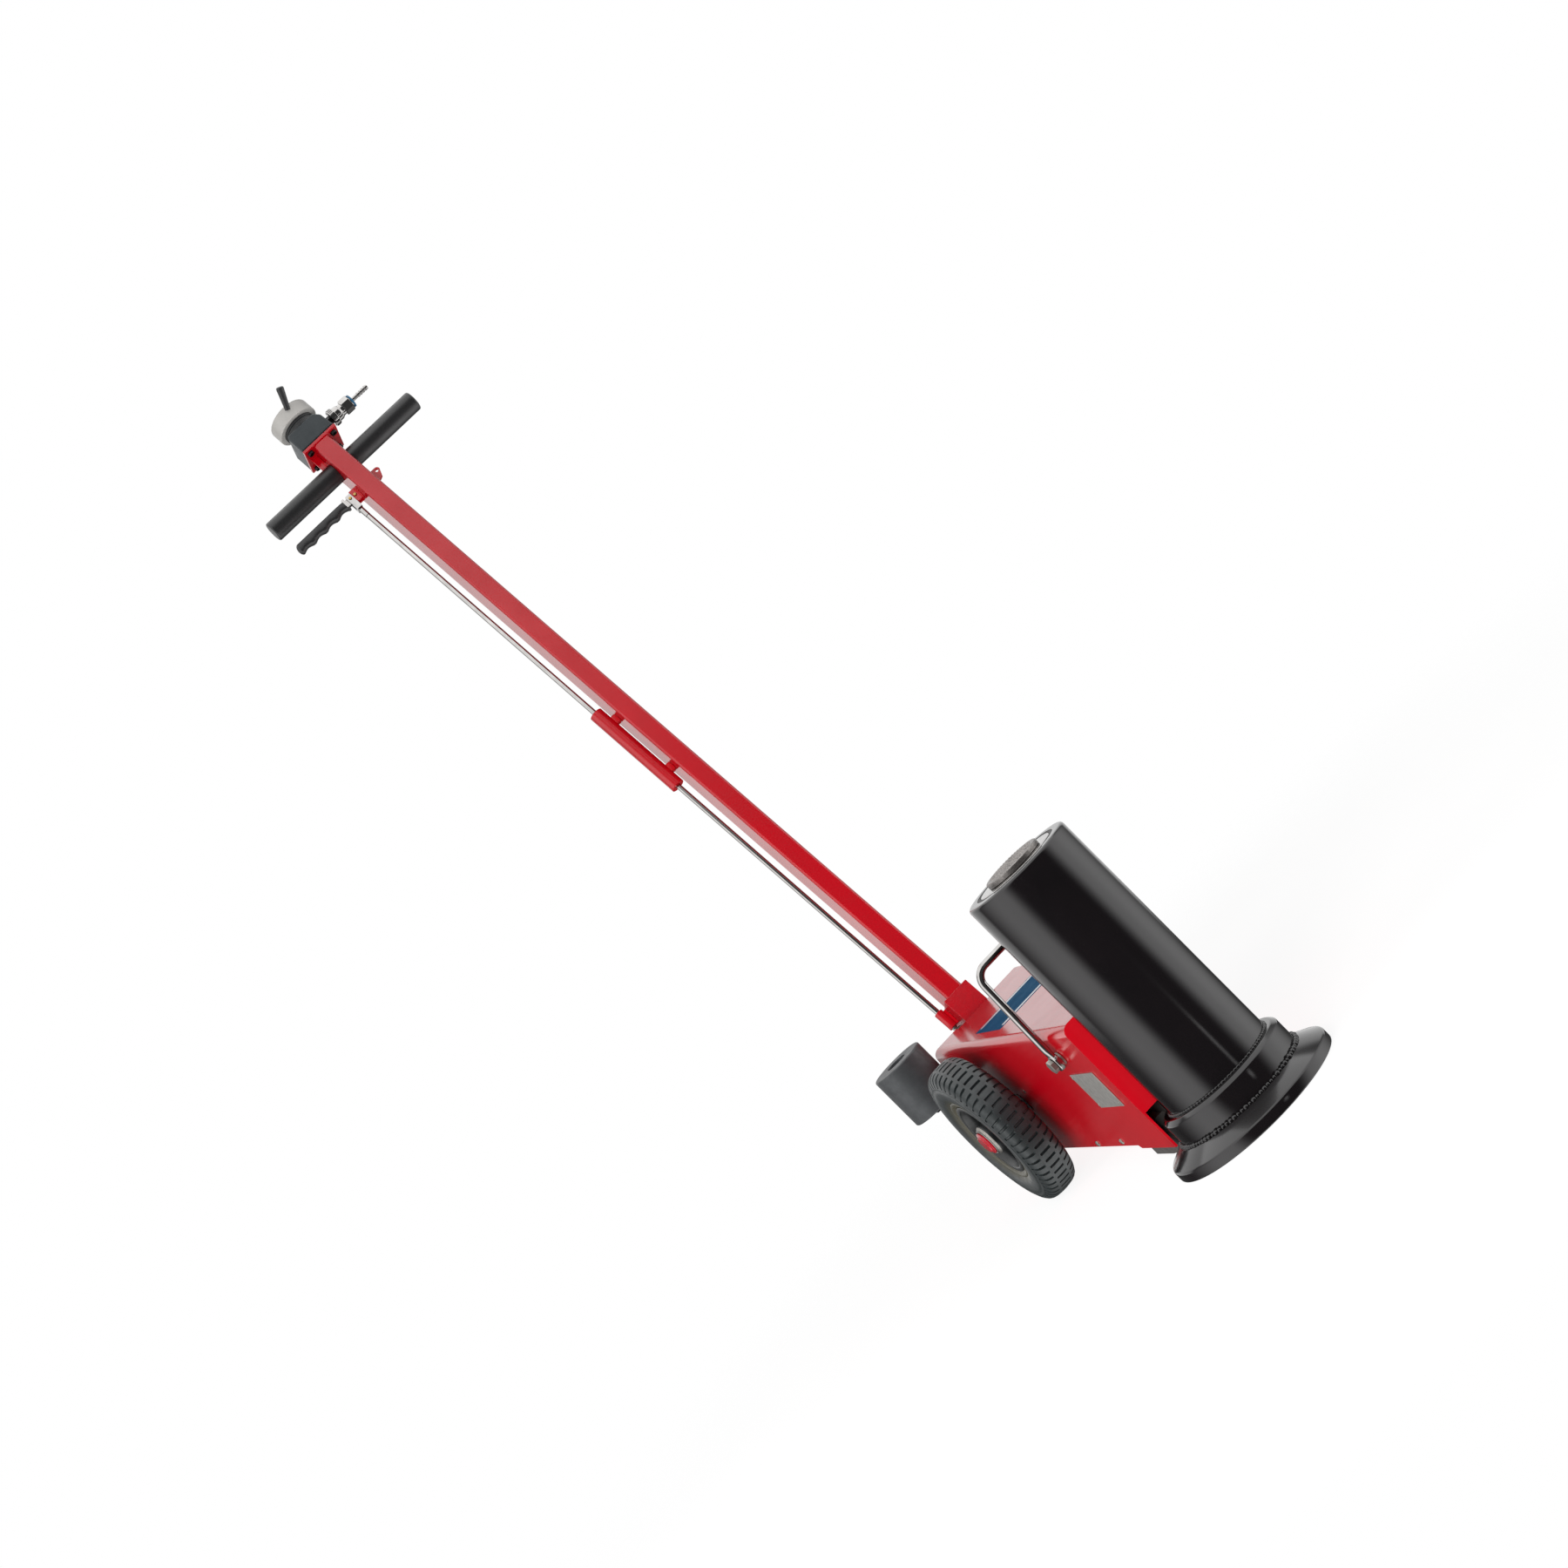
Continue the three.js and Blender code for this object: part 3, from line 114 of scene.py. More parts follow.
# %% A helper that adds a node, and one for colours
def add(tree, kind, links=None, **settings):
    """Adds a node, sets its properties, and fills or links its inputs."""
    node = tree.nodes.new(kind)
    for key, value in settings.items():
        setattr(node, key, value)
    for key, value in (links or {}).items():
        if isinstance(value, bpy.types.NodeSocket):
            tree.links.new(value, node.inputs[key])
        else:
            node.inputs[key].default_value = value
    return node


def linear(code):
    """An sRGB hex colour as linear RGBA."""
    parts = [int(code[i:i + 2], 16) / 255 for i in (1, 3, 5)]
    return [p / 12.92 if p <= 0.04045 else ((p + 0.055) / 1.055) ** 2.4 for p in parts] + [1.0]


# %% World
MIRRORED_WALL, MIRRORED_DARK, BACK_SHARE, SOFT_LIGHT = 2.0, 0.08, 0.5, 0.31
world = bpy.data.worlds.new("white studio")
bpy.context.scene.world = world
world.use_nodes = True
sky = world.node_tree
sky.nodes.clear()
way = add(sky, "ShaderNodeSeparateXYZ", {
    0: add(sky, "ShaderNodeTexCoord").outputs["Generated"]})


def edge(axis, dark_at, bright_at):
    """0 to 1 across a soft edge along one axis of the studio."""
    return add(sky, "ShaderNodeMapRange", {
        "Value": way.outputs[axis], "From Min": dark_at, "From Max": bright_at},
        interpolation_type="SMOOTHSTEP").outputs[0]


def join(first, second, operation):
    """Two masks as one."""
    return add(sky, "ShaderNodeMath", {0: first, 1: second}, operation=operation).outputs[0]


side_walls = join(edge("X", 0.78, 0.42), edge("X", -0.80, 0.15), "MULTIPLY")
back_wall = join(join(edge("X", -0.60, -0.74), edge("Z", -0.15, -0.11), "MULTIPLY"),
                 BACK_SHARE, "MULTIPLY")
ceiling = edge("Z", 0.60, 0.67)
bright = join(join(side_walls, back_wall, "MAXIMUM"), ceiling, "MAXIMUM")
mirrored = add(sky, "ShaderNodeMapRange", {
    "Value": bright, "To Min": MIRRORED_DARK, "To Max": MIRRORED_WALL})
ray = add(sky, "ShaderNodeLightPath")
lighting = add(sky, "ShaderNodeMix", {
    "Factor": ray.outputs["Is Glossy Ray"], "A": SOFT_LIGHT, "B": mirrored.outputs[0]})
shown = add(sky, "ShaderNodeMix", {
    "Factor": ray.outputs["Is Camera Ray"], "A": lighting.outputs[0], "B": 1.0})
lamp = add(sky, "ShaderNodeBackground", {
    "Color": (1.0, 1.0, 1.0, 1.0), "Strength": shown.outputs[0]})
add(sky, "ShaderNodeOutputWorld", {"Surface": lamp.outputs[0]})
bpy.context.scene.view_settings.view_transform = "Standard"
print("world ready, mirrored walls", MIRRORED_WALL, "soft light", SOFT_LIGHT)


# %% Lamps
def softbox(name, place, aim, size, watts, mirrored_only=False):
    """A square area lamp that looks at a point. It lights dull surfaces, or only mirrors."""
    light = bpy.data.lights.new(name, "AREA")
    light.shape, light.size, light.energy = "SQUARE", size, watts
    lamp_object = bpy.data.objects.new(name, light)
    lamp_object.location = place
    towards = Vector(aim) - Vector(place)
    lamp_object.rotation_euler = towards.to_track_quat("-Z", "Y").to_euler()
    lamp_object.visible_glossy = mirrored_only
    lamp_object.visible_diffuse = not mirrored_only
    lamp_object.visible_camera = False
    bpy.context.scene.collection.objects.link(lamp_object)


softbox("fill", (1.7, -1.0, 0.6), (-0.4, -0.1, 0.10), 0.8, 32)
softbox("key", (0.8, -2.8, 2.6), (-0.4, 0.0, 0.3), 1.2, 14)
softbox("streak on the ram", (3.8, 1.14, -0.62), (0.0, 0.0, 0.1), 0.34, 0.8, True)
print("three softboxes")

# %% [markdown]
# ## Finishes
# Most surfaces share one recipe: a slow noise shifts the colour and the gloss a little, and
# a fine noise lifts the surface as orange peel, moulding grain or casting sand does. Each
# scale is a real size in millimetres. Metals whose look comes from a tool, such as turned
# or brushed faces, add a pattern of their own.


# %% The common recipe
def finish(name, colour, shade, gloss, patch, grain, lift, metallic=0.0, ior=1.5):
    """colour and shade: the two ends of the mottle. gloss: roughness range. patch and grain:
    sizes in mm of the mottle and of the fine relief. lift: height in mm of that relief."""
    material = bpy.data.materials.new(name)
    material.use_nodes = True
    tree = material.node_tree
    tree.nodes.clear()
    place = add(tree, "ShaderNodeTexCoord").outputs["Object"]
    mottle = add(tree, "ShaderNodeTexNoise", {
        "Vector": place, "Scale": 1 / (patch * MM), "Detail": 4.0, "Roughness": 0.6})
    ends = add(tree, "ShaderNodeValToRGB", {0: mottle.outputs["Fac"]})
    ends.color_ramp.elements[0].position, ends.color_ramp.elements[1].position = 0.3, 0.7
    ends.color_ramp.elements[0].color = linear(shade)
    ends.color_ramp.elements[1].color = linear(colour)
    rough = add(tree, "ShaderNodeMapRange", {
        "Value": mottle.outputs["Fac"], "From Min": 0.3, "From Max": 0.7,
        "To Min": gloss[1], "To Max": gloss[0]})
    relief = add(tree, "ShaderNodeTexNoise", {
        "Vector": place, "Scale": 1 / (grain * MM), "Detail": 2.0})
    bump = add(tree, "ShaderNodeBump", {
        "Height": relief.outputs["Fac"], "Distance": lift * MM, "Strength": 1.0})
    shader = add(tree, "ShaderNodeBsdfPrincipled", {
        "Base Color": ends.outputs["Color"], "Roughness": rough.outputs[0],
        "Metallic": metallic, "IOR": ior, "Normal": bump.outputs["Normal"]})
    add(tree, "ShaderNodeOutputMaterial", {"Surface": shader.outputs[0]})
    return material


# %% Paints
# Powder coat is sprayed dry and baked, so it has a faint orange peel 2 to 3 mm across.
RED_COAT = finish("gloss red powder coat", "#D60A1E", "#CA081A", (0.14, 0.20), 60, 2.6, 0.006)
RED_CAST = finish("red powder coat on a casting", "#D01424", "#BE1020", (0.24, 0.36), 14, 3.2,
                  0.30)
# Brushed or dipped enamel on turned steel flows smoother than powder.
BLACK_ENAMEL = finish("gloss black enamel", "#110D0F", "#0C090B", (0.11, 0.17), 50, 4.0, 0.008)
WELD_ENAMEL = finish("black enamel over weld", "#131012", "#0C0A0B", (0.10, 0.26), 5, 1.6, 0.25)
SLATE_PAINT = finish("slate painted casting", "#2B3337", "#252C30", (0.38, 0.48), 20, 1.0, 0.03)
PUMP_PAINT = finish("dark grey painted casting", "#4A4644", "#3A3735", (0.5, 0.65), 15, 1.4, 0.2)
print("paints:", [m.name for m in bpy.data.materials][-6:])

# %% Rubber and plastics
TYRE_RUBBER = finish("tyre rubber", "#272D2E", "#1D2223", (0.34, 0.50), 9, 1.1, 0.06)
GRIP_RUBBER = finish("foam grip rubber", "#2A2A2B", "#222223", (0.36, 0.44), 30, 0.8, 0.01)
SEAL_RUBBER = finish("nitrile seal", "#1C1C1C", "#141414", (0.45, 0.6), 6, 0.9, 0.02)
BLACK_NYLON = finish("black moulded nylon", "#2C2D2E", "#232425", (0.42, 0.52), 8, 0.7, 0.03)
RIM_NYLON = finish("black moulded nylon rim", "#17191A", "#101213", (0.30, 0.42), 16, 0.9, 0.02)
GREY_ABS = finish("light grey moulded ABS", "#E2DFDA", "#DAD7D2", (0.36, 0.44), 20, 0.7, 0.005)
BLUE_ACETAL = finish("blue moulded acetal", "#3F7FA8", "#376F94", (0.35, 0.45), 4, 0.6, 0.01)
RED_CAP = finish("glossy red moulded cap", "#C2182A", "#AE1224", (0.20, 0.28), 5, 0.8, 0.01)
BLUE_FILM = finish("blue vinyl film", "#0F5C86", "#0C4F76", (0.42, 0.52), 30, 3.0, 0.004,
                   ior=1.04)
WHITE_FILM = finish("white vinyl film", "#E4E6EA", "#D8DADE", (0.22, 0.30), 30, 3.0, 0.004)
print("plastics ready")

# %% Metals
CHROME = finish("bright chrome plate", "#A8A6A4", "#989694", (0.08, 0.16), 12, 3.0, 0.006, 1.0)
ROD_CHROME = finish("ground hard chrome", "#A8A6A4", "#9E9C9A", (0.16, 0.22), 30, 0.9, 0.0006,
                    1.0)
ZINC = finish("zinc-plated screw", "#96938D", "#7C7974", (0.28, 0.42), 3, 0.6, 0.01, 0.8)
STEEL = finish("machined steel", "#8E8D8B", "#757472", (0.28, 0.42), 6, 0.6, 0.01, 1.0)
ALUMINIUM = finish("machined aluminium", "#C2C3C4", "#A9AAAC", (0.28, 0.40), 9, 0.7, 0.01, 1.0)
BRASS = finish("yellow passivated pin", "#C0A468", "#A58A50", (0.25, 0.38), 2, 0.5, 0.01, 1.0)
OXIDE = finish("dark phosphated steel", "#47494B", "#3B3D3F", (0.42, 0.55), 14, 0.9, 0.03, 0.2)
BLACK_SCREW = finish("black oxide screw", "#2A2A2B", "#1E1E1F", (0.30, 0.45), 3, 0.6, 0.01, 0.8)
print(len(bpy.data.materials), "finishes")


# %% Brushed plate and turned faces
def add_pattern(material, kind, pitch, depth, turn=(0.0, 0.0, 0.0), stretch=(1, 1, 1)):
    """Adds tool marks: a wave of that pitch and depth in mm, ahead of the fine relief."""
    tree = material.node_tree
    bump = next(n for n in tree.nodes if n.bl_idname == "ShaderNodeBump")
    place = add(tree, "ShaderNodeTexCoord").outputs["Object"]
    turned_place = add(tree, "ShaderNodeMapping", {
        "Vector": place, "Rotation": turn, "Scale": stretch})
    # A wave texture repeats every tenth of a metre at scale 1 and 2 pi.
    marks = add(tree, "ShaderNodeTexWave", {
        "Vector": turned_place.outputs[0], "Scale": math.pi / (10 * pitch * MM),
        "Distortion": 1.2, "Detail": 2.0}, **kind)
    lines = add(tree, "ShaderNodeBump", {
        "Height": marks.outputs["Fac"], "Distance": depth * MM, "Strength": 1.0,
        "Normal": bump.outputs["Normal"]})
    shader = next(n for n in tree.nodes if n.bl_idname == "ShaderNodeBsdfPrincipled")
    tree.links.new(lines.outputs["Normal"], shader.inputs["Normal"])


RINGS_Z = {"wave_type": "RINGS", "rings_direction": "Z"}
PLATE = finish("brushed aluminium sheet", "#A8A6A2", "#8C8A86", (0.30, 0.44), 7, 0.6, 0.01, 0.35)
add_pattern(PLATE, {"wave_type": "BANDS", "bands_direction": "Z"}, 0.8, 0.02)
SADDLE_STEEL = finish("turned steel saddle", "#8B8784", "#6E6A68", (0.30, 0.45), 4, 0.8, 0.05,
                      0.9)
add_pattern(SADDLE_STEEL, RINGS_Z, 2.0, 0.05)
add_pattern(ROD_CHROME, RINGS_Z, 1.6, 0.003)
print("tool marks on", PLATE.name, SADDLE_STEEL.name, ROD_CHROME.name)

# %% [markdown]
# ## Turned pieces
# A lathe makes most of a jack: ram, foot, wheels, knobs and couplers. Each is drawn as half
# of its section, a list of corners with the radius that rounds each corner, and spun round
# its axis. Small rounded edges matter, because they catch the light as real edges do.


# %% Section and spin
SHARP_ANGLE = 32  # degrees: a steeper fold keeps a hard line


def rounded(corners, closed=False, steps=4):
    """Corners (radius, height, rounding) as points, each corner softened by a short curve."""
    points = []
    count = len(corners)
    for i, corner in enumerate(corners):
        here = Vector(corner[:2])
        soft = corner[2] if len(corner) > 2 else 0
        if not soft or (not closed and i in (0, count - 1)):
            points.append(here)
            continue
        before = Vector(corners[i - 1][:2]) - here
        after = Vector(corners[(i + 1) % count][:2]) - here
        start = here + before.normalized() * min(soft, before.length / 2)
        end = here + after.normalized() * min(soft, after.length / 2)
        for step in range(steps + 1):
            t = step / steps
            points.append(start * (1 - t) ** 2 + here * 2 * t * (1 - t) + end * t ** 2)
    return points


def spin_mesh(mesh_builder, corners, closed=False, sides=96):
    """Spins a section about the Z axis into an open bmesh."""
    rings = []
    for point in rounded(corners, closed):
        if point.x < 1e-6:
            rings.append([mesh_builder.verts.new((0, 0, point.y))])
        else:
            rings.append([mesh_builder.verts.new((
                point.x * math.cos(a), point.x * math.sin(a), point.y))
                for a in (2 * math.pi * k / sides for k in range(sides))])
    if closed:
        rings.append(rings[0])
    for lower, upper in zip(rings, rings[1:]):
        for k in range(sides):
            n = (k + 1) % sides
            ring_corners = [lower[k % len(lower)], lower[n % len(lower)],
                            upper[n % len(upper)], upper[k % len(upper)]]
            face = list(dict.fromkeys(ring_corners))
            if len(face) > 2:
                mesh_builder.faces.new(face)


def skin(shape, rings, joined=False):
    """Faces between rings of points. joined links the last ring to the first."""
    following = rings[1:] + rings[:1] if joined else rings[1:]
    for here, there in zip(rings, following):
        for k in range(len(here)):
            n = (k + 1) % len(here)
            shape.faces.new((here[k], here[n], there[n], there[k]))


def merge(target, piece):
    """Adds one bmesh to another and frees it."""
    loose = bpy.data.meshes.new("loose")
    piece.to_mesh(loose)
    piece.free()
    target.from_mesh(loose)
    bpy.data.meshes.remove(loose)


def keep(name, shape, body, material, replaced=(), turn=None, crease=SHARP_ANGLE):
    """Turns a bmesh in millimetres into a finished piece that rides on a body."""
    bmesh.ops.remove_doubles(shape, verts=shape.verts, dist=1e-4)
    bmesh.ops.recalc_face_normals(shape, faces=shape.faces)
    shape.transform(Matrix.Scale(MM, 4) @ (turn or Matrix.Identity(4)))
    mesh = bpy.data.meshes.new(name)
    shape.to_mesh(mesh)
    shape.free()
    return keep_mesh(name, mesh, body, material, replaced, crease)


def keep_mesh(name, mesh, body, material, replaced=(), crease=SHARP_ANGLE):
    """Gives a mesh its finish, its smooth faces and its body."""
    mesh.materials.clear()
    mesh.materials.append(material)
    for face in mesh.polygons:
        face.use_smooth = True
    mesh.set_sharp_from_angle(angle=math.radians(crease))
    piece = bpy.data.objects.new(name, mesh)
    bpy.context.scene.collection.objects.link(piece)
    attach(piece, body)
    if replaced:
        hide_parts(*replaced)
    return piece


def turned(name, corners, node, material, turn=None, closed=False, sides=96, replaced=None):
    """A lathe piece that takes its body from the CAD node it stands for and hides the nodes it replaces."""
    shape = bmesh.new()
    spin_mesh(shape, corners, closed, sides)
    return keep(name, shape, body_of[node], material, replaced or (node,), turn)


# %% [markdown]
# ## Ram
# The foot, the collar and the tube are welded and painted in one colour, and the gland is
# screwed in flush under the same paint, so tube and gland are one shell here.

# %% Foot, collar and tube
turned("ram_foot", [(0, 0), (119.5, 0, 2), (119.5, 14, 2.5), (93, 28, 1.5), (0, 28)],
       "foot", BLACK_ENAMEL, sides=160)
turned("ram_collar", [(75.3, 28.3), (89, 28.3, 1), (89, 59.3, 1.6), (84, 64.3, 1.6),
                      (75.3, 64.3)], "base_collar", BLACK_ENAMEL, closed=True, sides=160)
turned("ram_barrel", [(69, 28.3), (75, 28.3), (75, 396, 5), (59.9, 396, 0.6), (59.9, 390),
                      (54.9, 390), (54.9, 350), (69, 350)],
       "ram_tube", BLACK_ENAMEL, closed=True, sides=160, replaced=("ram_tube", "ram_gland"))
turned("ram_wiper", [(54.9, 390.3), (59.6, 390.3), (59.6, 396, 1.2), (57.6, 395),
                     (55, 396, 0.8)], "wiper_seal", SEAL_RUBBER, closed=True)
print("foot, collar, barrel and wiper")

# %% Rod and saddle
turned("ram_rod_chrome", [(0, 58.3), (54.5, 58.3, 1), (54.5, 396, 1.2), (15.3, 396, 0.5),
                          (15.3, 364), (0, 364)], "ram_rod", ROD_CHROME, sides=128)
turned("saddle_disc", [(0, 368), (15, 368), (15, 396.3), (39, 396.3, 0.8), (39, 402.6, 1.2),
                       (37.2, 403.2, 0.4), (34, 403.0), (0, 403.0)], "saddle", SADDLE_STEEL)
print("rod and saddle")

# %% [markdown]
# ## Repeats
# Tread lugs, weld ripples, knurls and saddle teeth are one small shape copied round a ring,
# and screws and rivets are one shape copied to a few places. Two Geometry Nodes trees do
# both. Each ends in Realize Instances and Set Material, and the result is read back as a
# plain mesh.


# %% The two trees
def new_tree(name, inputs):
    """An empty geometry tree with named inputs."""
    tree = bpy.data.node_groups.new(name, "GeometryNodeTree")
    tree.interface.new_socket("Geometry", in_out="INPUT", socket_type="NodeSocketGeometry")
    for label, kind in inputs:
        tree.interface.new_socket(label, in_out="INPUT", socket_type=kind)
    tree.interface.new_socket("Geometry", in_out="OUTPUT", socket_type="NodeSocketGeometry")
    return tree, add(tree, "NodeGroupInput").outputs


def close_tree(tree, given, instances):
    """Realize Instances, Set Material and the output."""
    real = add(tree, "GeometryNodeRealizeInstances", {"Geometry": instances})
    painted = add(tree, "GeometryNodeSetMaterial", {
        "Geometry": real.outputs[0], "Material": given["Material"]})
    add(tree, "NodeGroupOutput", {"Geometry": painted.outputs[0]})


COMMON = [("Shape", "NodeSocketObject"), ("Material", "NodeSocketMaterial")]
ring_tree, ring_in = new_tree("copies round a ring", COMMON + [
    ("Count", "NodeSocketInt"), ("Radius", "NodeSocketFloat"), ("Height", "NodeSocketFloat"),
    ("Start", "NodeSocketFloat"), ("Variation", "NodeSocketFloat"), ("Seed", "NodeSocketInt")])
circle = add(ring_tree, "GeometryNodeMeshCircle", {
    "Vertices": ring_in["Count"], "Radius": ring_in["Radius"]})
lifted = add(ring_tree, "ShaderNodeCombineXYZ", {"Z": ring_in["Height"]})
raised = add(ring_tree, "GeometryNodeTransform", {
    "Geometry": circle.outputs[0], "Translation": lifted.outputs[0]})
order = add(ring_tree, "GeometryNodeInputIndex")
step_angle = add(ring_tree, "ShaderNodeMath", {0: 2 * math.pi, 1: ring_in["Count"]},
                 operation="DIVIDE")
facing = add(ring_tree, "ShaderNodeMath", {0: order.outputs[0], 1: step_angle.outputs[0]},
             operation="MULTIPLY")
spin = add(ring_tree, "ShaderNodeCombineXYZ", {"Z": facing.outputs[0]})
least = add(ring_tree, "ShaderNodeMath", {0: 1.0, 1: ring_in["Variation"]},
            operation="SUBTRACT")
size = add(ring_tree, "FunctionNodeRandomValue", {
    2: least.outputs[0], 3: 1.0, "Seed": ring_in["Seed"]})
around = add(ring_tree, "GeometryNodeInstanceOnPoints", {
    "Points": raised.outputs[0], "Rotation": spin.outputs[0], "Scale": size.outputs[1],
    "Instance": add(ring_tree, "GeometryNodeObjectInfo", {
        "Object": ring_in["Shape"]}).outputs["Geometry"]})
start_turn = add(ring_tree, "ShaderNodeCombineXYZ", {"Z": ring_in["Start"]})
started = add(ring_tree, "GeometryNodeTransform", {
    "Geometry": around.outputs[0], "Rotation": start_turn.outputs[0]})
close_tree(ring_tree, ring_in, started.outputs[0])

spot_tree, spot_in = new_tree("copies at places", COMMON + [
    ("Rotation", "NodeSocketRotation")])
placed = add(spot_tree, "GeometryNodeInstanceOnPoints", {
    "Points": spot_in["Geometry"], "Rotation": spot_in["Rotation"],
    "Instance": add(spot_tree, "GeometryNodeObjectInfo", {
        "Object": spot_in["Shape"]}).outputs["Geometry"]})
close_tree(spot_tree, spot_in, placed.outputs[0])
print("trees:", ring_tree.name, "and", spot_tree.name)


# %% Run a tree
def grown(name, tree, shape, points, values, body, turn=None, crease=SHARP_ANGLE):
    """Runs a tree on points in mm and keeps the result as one plain piece."""
    copied = bpy.data.meshes.new("copied shape")
    bmesh.ops.recalc_face_normals(shape, faces=shape.faces)
    shape.to_mesh(copied)
    shape.free()
    source = bpy.data.objects.new("copied shape", copied)
    places = bpy.data.meshes.new("places")
    places.from_pydata(points, [], [])
    carrier = bpy.data.objects.new("carrier", places)
    for each in (source, carrier):
        bpy.context.scene.collection.objects.link(each)
    modifier = carrier.modifiers.new("copies", "NODES")
    modifier.node_group = tree
    values = dict(values, Shape=source)
    for item in tree.interface.items_tree:
        if item.in_out == "INPUT" and item.name in values:
            modifier[item.identifier] = values[item.name]
    graph = bpy.context.evaluated_depsgraph_get()
    mesh = bpy.data.meshes.new_from_object(carrier.evaluated_get(graph), depsgraph=graph)
    carrier.modifiers.remove(modifier)
    for each in (source, carrier):
        bpy.data.objects.remove(each)
    mesh.transform(Matrix.Scale(MM, 4) @ (turn or Matrix.Identity(4)))
    return keep_mesh(name, mesh, body, values["Material"], crease=crease)


def ring_of(name, shape, material, count, radius, height, node, start=0.0, variation=0.0,
            turn=None, crease=SHARP_ANGLE):
    """Copies of a shape round a ring, with their own fixed seed."""
    values = {"Material": material, "Count": count, "Radius": radius, "Height": height,
              "Start": start, "Variation": variation, "Seed": 7}
    return grown(name, ring_tree, shape, [(0, 0, 0)], values, body_of[node],
                 turn, crease)


# %% Weld beads and saddle teeth
def weld_ripple(half_sizes):
    """One rounded ripple of a weld bead."""
    shape = bmesh.new()
    bmesh.ops.create_icosphere(shape, subdivisions=2, radius=1.0)
    bmesh.ops.scale(shape, vec=half_sizes, verts=shape.verts)
    return shape


ring_of("foot_weld", weld_ripple((4.4, 4.2, 4.0)), WELD_ENAMEL, 96, 90.4, 28.8, "foot",
        variation=0.35)
ring_of("collar_weld", weld_ripple((2.4, 3.6, 2.4)), WELD_ENAMEL, 96, 75.6, 64.6,
        "base_collar", variation=0.2)
for number, (radius, count) in enumerate([(6, 8), (12, 16), (18, 24), (24, 32), (30, 40)]):
    tooth = bmesh.new()
    bmesh.ops.create_cone(tooth, cap_ends=True, segments=4, radius1=2.3, radius2=0.7, depth=1.3)
    ring_of(f"saddle_teeth_{number}", tooth, SADDLE_STEEL, count, radius, 403.6, "saddle",
            crease=20)
print("welds and saddle teeth")

# %% [markdown]
# ## Folded and cast pieces
# The cover, the tube, the brackets and the castings already have the right shape, but their
# edges are knife sharp. A merged copy of each solid gets a small bevel and weighted normals,
# which is how folded sheet and fettled castings catch the light.


# %% Soften a solid
MERGE_DISTANCE, FLAT_ANGLE, BEVEL_STEPS = 2e-6, 0.6, 3


def softened(node, material, bevel):
    """A copy of a CAD solid with its corners rounded by bevel, in mm."""
    shape = bmesh.new()
    shape.from_mesh(frame["nodes"][node].data)
    bmesh.ops.remove_doubles(shape, verts=shape.verts, dist=MERGE_DISTANCE)
    bmesh.ops.dissolve_limit(shape, angle_limit=math.radians(FLAT_ANGLE), verts=shape.verts,
                             edges=shape.edges)
    mesh = bpy.data.meshes.new(node + "_finished")
    shape.to_mesh(mesh)
    shape.free()
    for face in mesh.polygons:
        face.use_smooth = True
    mesh.set_sharp_from_angle(angle=math.radians(SHARP_ANGLE))
    rough = bpy.data.objects.new("rough", mesh)
    bpy.context.scene.collection.objects.link(rough)
    edge = rough.modifiers.new("edge", "BEVEL")
    edge.width, edge.segments, edge.limit_method = bevel * MM, BEVEL_STEPS, "ANGLE"
    edge.angle_limit, edge.use_clamp_overlap = math.radians(SHARP_ANGLE), True
    edge.miter_outer = "MITER_ARC"
    even = rough.modifiers.new("even", "WEIGHTED_NORMAL")
    even.keep_sharp = False
    graph = bpy.context.evaluated_depsgraph_get()
    made = bpy.data.meshes.new_from_object(rough.evaluated_get(graph), depsgraph=graph)
    bpy.data.objects.remove(rough)
    made.materials.clear()
    made.materials.append(material)
    piece = bpy.data.objects.new(node + "_finished", made)
    bpy.context.scene.collection.objects.link(piece)
    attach(piece, body_of[node])
    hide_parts(node)
    return piece


# %% Cover, handle and brackets
for node, material, bevel in [
        ("chassis_cover", RED_COAT, 0.9), ("handle_tube", RED_COAT, 1.4),
        ("handle_socket", RED_CAST, 1.6), ("hinge_bracket", RED_COAT, 1.0),
        ("lock_guide", RED_COAT, 0.5), ("rod_sleeve", RED_COAT, 0.6),
        ("lever_bracket", RED_COAT, 0.5), ("hook_lug", RED_COAT, 0.8),
        ("head_plate", RED_COAT, 0.7), ("valve_body", SLATE_PAINT, 2.4),
        ("pump_block", PUMP_PAINT, 2.0), ("lock_quadrant", STEEL, 0.5),
        ("extension_holder", BLACK_ENAMEL, 0.8), ("lever_arm", CHROME, 0.8),
        ("rod_clevis", CHROME, 0.6), ("bail_bolt_left", ZINC, 0.8),
        ("bail_bolt_right", ZINC, 0.8), ("data_plate", PLATE, 0.3),
        ("hinge_pin", STEEL, 0.8)]:
    softened(node, material, bevel)
print("softened solids")

# %% [markdown]
# ## Wheels
# A small trolley tyre has three rows of short cross slots, each row a third of a pitch
# further round than the last. The tyre is a grid of sections round the axle, and the points
# that fall in a slot are pressed in. The rim is one deep nylon moulding, and grey dust
# settles where the bead meets it.

# %% The tyre's grid
TREAD_PITCHES, SLOT_DEPTH = 56, 3.8
